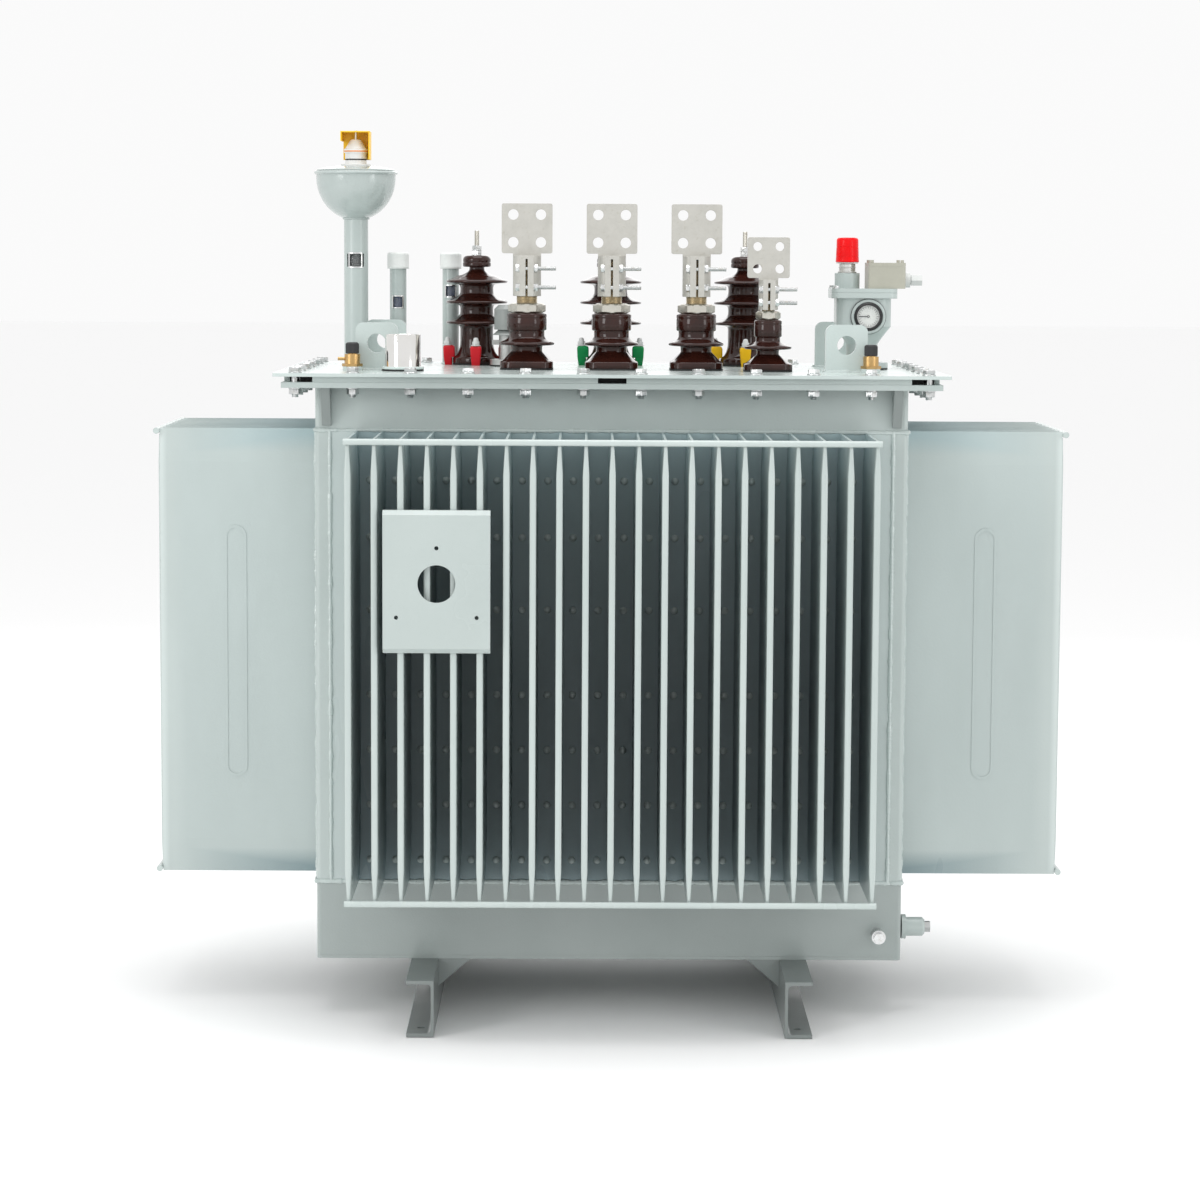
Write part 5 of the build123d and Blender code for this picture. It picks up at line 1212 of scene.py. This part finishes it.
# ---------------------------------------------------------------- low-voltage bushings
# Three stout porcelain bushings on square feet and a smaller one for the neutral. Each has a
# heavy nut on a threaded stud, gripped by a split sleeve whose flat palm has four holes.
lv_spots = [(-0.154, -0.075), (0.0, -0.075), (0.154, -0.075)]
neutral_spot = (0.282, -0.125)
phase = {
    "barrel": (36, 31), "neck": (32, 13), "shed": (50, 12), "waist": (28, 13), "base": (48, 24, 12, 30),
    "tail": 25, "stud": 19, "nut": (59, 18), "bare": 13, "sleeve": 73,
}
neutral = {
    "barrel": (25, 31), "neck": (22, 9), "shed": (43, 11), "waist": (20, 11), "base": (
        43.5, 22, 11, 28,
    ),
    "tail": 19, "stud": 12, "nut": (39, 16), "bare": 2, "sleeve": 54,
}
sets = [(spot, phase) for spot in lv_spots] + [(neutral_spot, neutral)]


def stack_height(size):
    """A bushing's height above the cover seal, in millimetres."""
    return sum(size[part][1] for part in ("neck", "shed", "waist", "barrel")) + size["base"][3]


def square_reach(half, corner, angle):
    """Distance from the middle of a round-cornered square to its edge."""
    c, s = abs(math.cos(angle)), abs(math.sin(angle))
    big, small = max(c, s), min(c, s)
    if half * small / big <= half - corner:
        return half / big
    flat = half - corner
    dot = flat * (c + s)
    return dot + math.sqrt(max(dot * dot - (2 * flat * flat - corner * corner), 0))


insulators = Shape()
for (x, y), size in sets:
    half, corner, rim, base_h = size["base"]
    waist_r, waist_h = size["waist"]
    shed_r, shed_h = size["shed"]
    neck_r, neck_h = size["neck"]
    barrel_r, barrel_h = size["barrel"]
    bore = size["stud"] + 0.2
    shed_low = base_h + waist_h
    neck_low = shed_low + shed_h
    barrel_low = neck_low + neck_h
    top_z = barrel_low + barrel_h
    flare = base_h - rim
    rows = [(bore, -69, 1), (size["tail"], -69, 1), (size["tail"], 0, 1)]
    rows += [(half - 0.9, 0, 0), (half, 0.9, 0), (half, rim - 1.2, 0), (half - 1.2, rim + 0.2, 0.02)]
    for share, fall in (
        (0.12, 0.10), (0.28, 0.30), (0.45, 0.52), (0.62, 0.72), (0.80, 0.88), (1.0, 1.0),
    ):
        reach = half - 1.2 + (waist_r - half + 1.2) * (1 - (1 - share) ** 1.3)
        rows.append((reach, rim + flare * fall, min(1.0, share * 1.15)))
    rows += [
        (waist_r, shed_low - 5.5, 1), (waist_r + 1.2, shed_low - 3.6, 1),
        (shed_r - 7, shed_low - 1.4, 1), (shed_r - 5.4, shed_low - 2.2, 1),
        (shed_r - 1.4, shed_low - 1.4, 1),
        (shed_r - 0.2, shed_low, 1), (shed_r, shed_low + 1.6, 1), (shed_r - 1.2, shed_low + 3.2, 1),
        ((shed_r * 2 + neck_r) / 3, shed_low + 5.4, 1),
        ((shed_r + neck_r * 2) / 3, shed_low + 8.2, 1), (neck_r + 1.2, neck_low, 1),
        (neck_r, neck_low + 2.4, 1), (neck_r, barrel_low - 1.6, 1),
        (neck_r + 0.6, barrel_low - 0.2, 1),
        (barrel_r - 1.4, barrel_low + 0.2, 1), (barrel_r, barrel_low + 1.8, 1),
        (barrel_r, top_z - 10, 1), (barrel_r - 0.5, top_z - 9, 1), (barrel_r - 0.5, top_z - 8, 1),
        (barrel_r, top_z - 7, 1),
        (barrel_r, top_z - 2.4, 1), (barrel_r - 2.4, top_z, 1), (bore, top_z, 1),
    ]
    steps = 96
    rings = []
    for radius, z, round_share in rows:
        ring = []
        for i in range(steps):
            a = 2 * math.pi * (i + 0.5) / steps
            edge = radius
            if round_share < 1:
                square = square_reach(radius, min(corner, radius), a)
                edge = radius * round_share + square * (1 - round_share)
            ring.append((x + edge / 1000 * math.cos(a), y + edge / 1000 * math.sin(a), seat + z / 1000))
        rings.append(ring)
    insulators.rings(rings, closed=True)
insulators.piece("lv_bushings", glaze, "tank", "brown_glaze", replaces=("lv_porcelains",), smooth=48)

stud_brass = plated("stud_brass", tone=(0.60, 0.51, 0.36), rough=0.24, tint=(0.40, 0.28, 0.13))
nut_metal = plated("nut_silver", tone=(0.64, 0.62, 0.56), rough=0.24, tint=(0.42, 0.36, 0.28))
stems, stem_nuts = Shape(), Shape()
stem_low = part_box("lv_terminals")[0].z
for (x, y), size in sets:
    r = size["stud"] / 1000
    z_nut = seat + stack_height(size) / 1000
    z_bare = z_nut + size["nut"][1] / 1000
    z_sleeve = z_bare + size["bare"] / 1000
    z_end = z_sleeve + (size["sleeve"] - 6.2) / 1000
    outline = [(0.0, stem_low), (r, stem_low), (r, z_nut)]
    z = z_nut + 0.0005
    while z + 0.0025 < z_end - 0.001:
        outline += [(r - 0.0011, z), (r - 0.0001, z + 0.00105), (r - 0.0001, z + 0.00145)]
        z += 0.0025
    outline += [(r - 0.001, z_end - 0.0008), (r - 0.002, z_end), (0.0, z_end)]
    stems.turned(outline, (x, y, 0), steps=56)
    six = Hexagon(size["nut"][0] / 1000, 10, x, y)
    stem_nuts.rings([
        six.circle(z_nut, r + 0.0002), six.circle(z_nut, six.flat * 0.93),
        six.sides(z_nut + 0.0012, six.flat * 0.985), six.sides(z_nut + 0.0034, six.full),
        six.sides(z_bare - 0.0034, six.full), six.sides(z_bare - 0.0010, six.flat * 0.975),
        six.circle(z_bare, six.flat * 0.90), six.circle(z_bare, r + 0.0016),
        six.circle(z_bare - 0.0014, r + 0.0002),
    ], closed=True)
stems.piece("lv_studs", stud_brass, "tank", "terminal_brass", replaces=("lv_terminals",), smooth=28)
stem_nuts.piece("lv_nuts", nut_metal, "tank", "terminal_brass", smooth=32)

tinned = plated(
    "palm_tin", tone=(0.58, 0.57, 0.53), rough=0.40, tint=(0.47, 0.45, 0.39), metal=0.8, grain=400.0,
)
tinned.relief(tinned.noise(260.0, 3.0) * 0.5 + tinned.noise(30.0, 3.0) * 0.5, 0.0004, soften=0.0009)
clothe(tinned, "lv_palms")


def cross_bolt(name, ear):
    """A screw through the two ears of a sleeve: head and washer one side, nut and tail the other."""
    bolt = Shape()
    start, stop = -(ear + 0.007), ear + 0.040
    nut(bolt, 0.013, start, start + 0.0058)
    washer(bolt, 0.0080, start + 0.0056, start + 0.007, 22)
    washer(bolt, 0.0080, ear, ear + 0.0014, 22)
    nut(bolt, 0.013, ear + 0.0014, ear + 0.007)
    threaded(bolt, 0.004, ear + 0.0065, stop, 0.00125)
    shank_low, shank_high, shank_r = start + 0.0065, ear + 0.0005, 0.0039
    shank = [(0.0, shank_low), (shank_r, shank_low), (shank_r, shank_high), (0.0, shank_high)]
    bolt.turned(shank, (0, 0, 0), steps=14)
    return bolt.piece(name, zinc, None, None)


clamps = (
    ("cross_bolts", "cross_bolt", lv_spots, phase, 0.013, 0.034, 0.023, 0.034, 21),
    ("cross_bolts_neutral", "cross_bolt_n", [neutral_spot], neutral, 0.011, 0.025, 0.017, 0.024, 22),
)
for name, screw, spots, size, ear, forward, first, step, seed in clamps:
    crown = seat + (stack_height(size) + size["nut"][1] + size["bare"] + size["sleeve"]) / 1000
    cross_spots = [
        ((x, y - forward, crown - first - i * step), (1, 0, 0)) for x, y in spots for i in (0, 1)
    ]
    scatter(
        name, cross_bolt(screw, ear), cross_spots, bright_zinc, "tank", "zinc",
        loose_turn=3.0, seed=seed, smooth=32,
    )

# ---------------------------------------------------------------- tap changer
# A small off-load switch behind the left bushings, worked by a round grey knob.
clothe(plated("tap_metal", tone=(0.55, 0.55, 0.54), rough=0.3), "tap_changer")
knob_grey = moulded("knob_grey", (0.30, 0.32, 0.31), (0.22, 0.24, 0.235), rough=0.34, coat=0.3)
clothe(knob_grey, "tap_knob")

# ---------------------------------------------------------------- core, windings and leads
# Inside the oil stand a laminated three-limb core in steel clamps, paper-wrapped windings and
# the leads that run up to the bushings.
clothe(plated("core_laminations", tone=(0.20, 0.21, 0.23), rough=0.42, tint=(0.14, 0.12, 0.10)), "core")
clothe(enamel("clamp_enamel", tone=0.8, gloss=0.35), "core_clamps")
paper_wrap = moulded("winding_paper", (0.42, 0.27, 0.12), (0.30, 0.18, 0.08), rough=0.6)
clothe(paper_wrap, "lv_windings", "hv_windings")
clothe(plated("lead_copper", tone=(0.62, 0.28, 0.13), rough=0.28, tint=(0.25, 0.12, 0.07)), "leads")
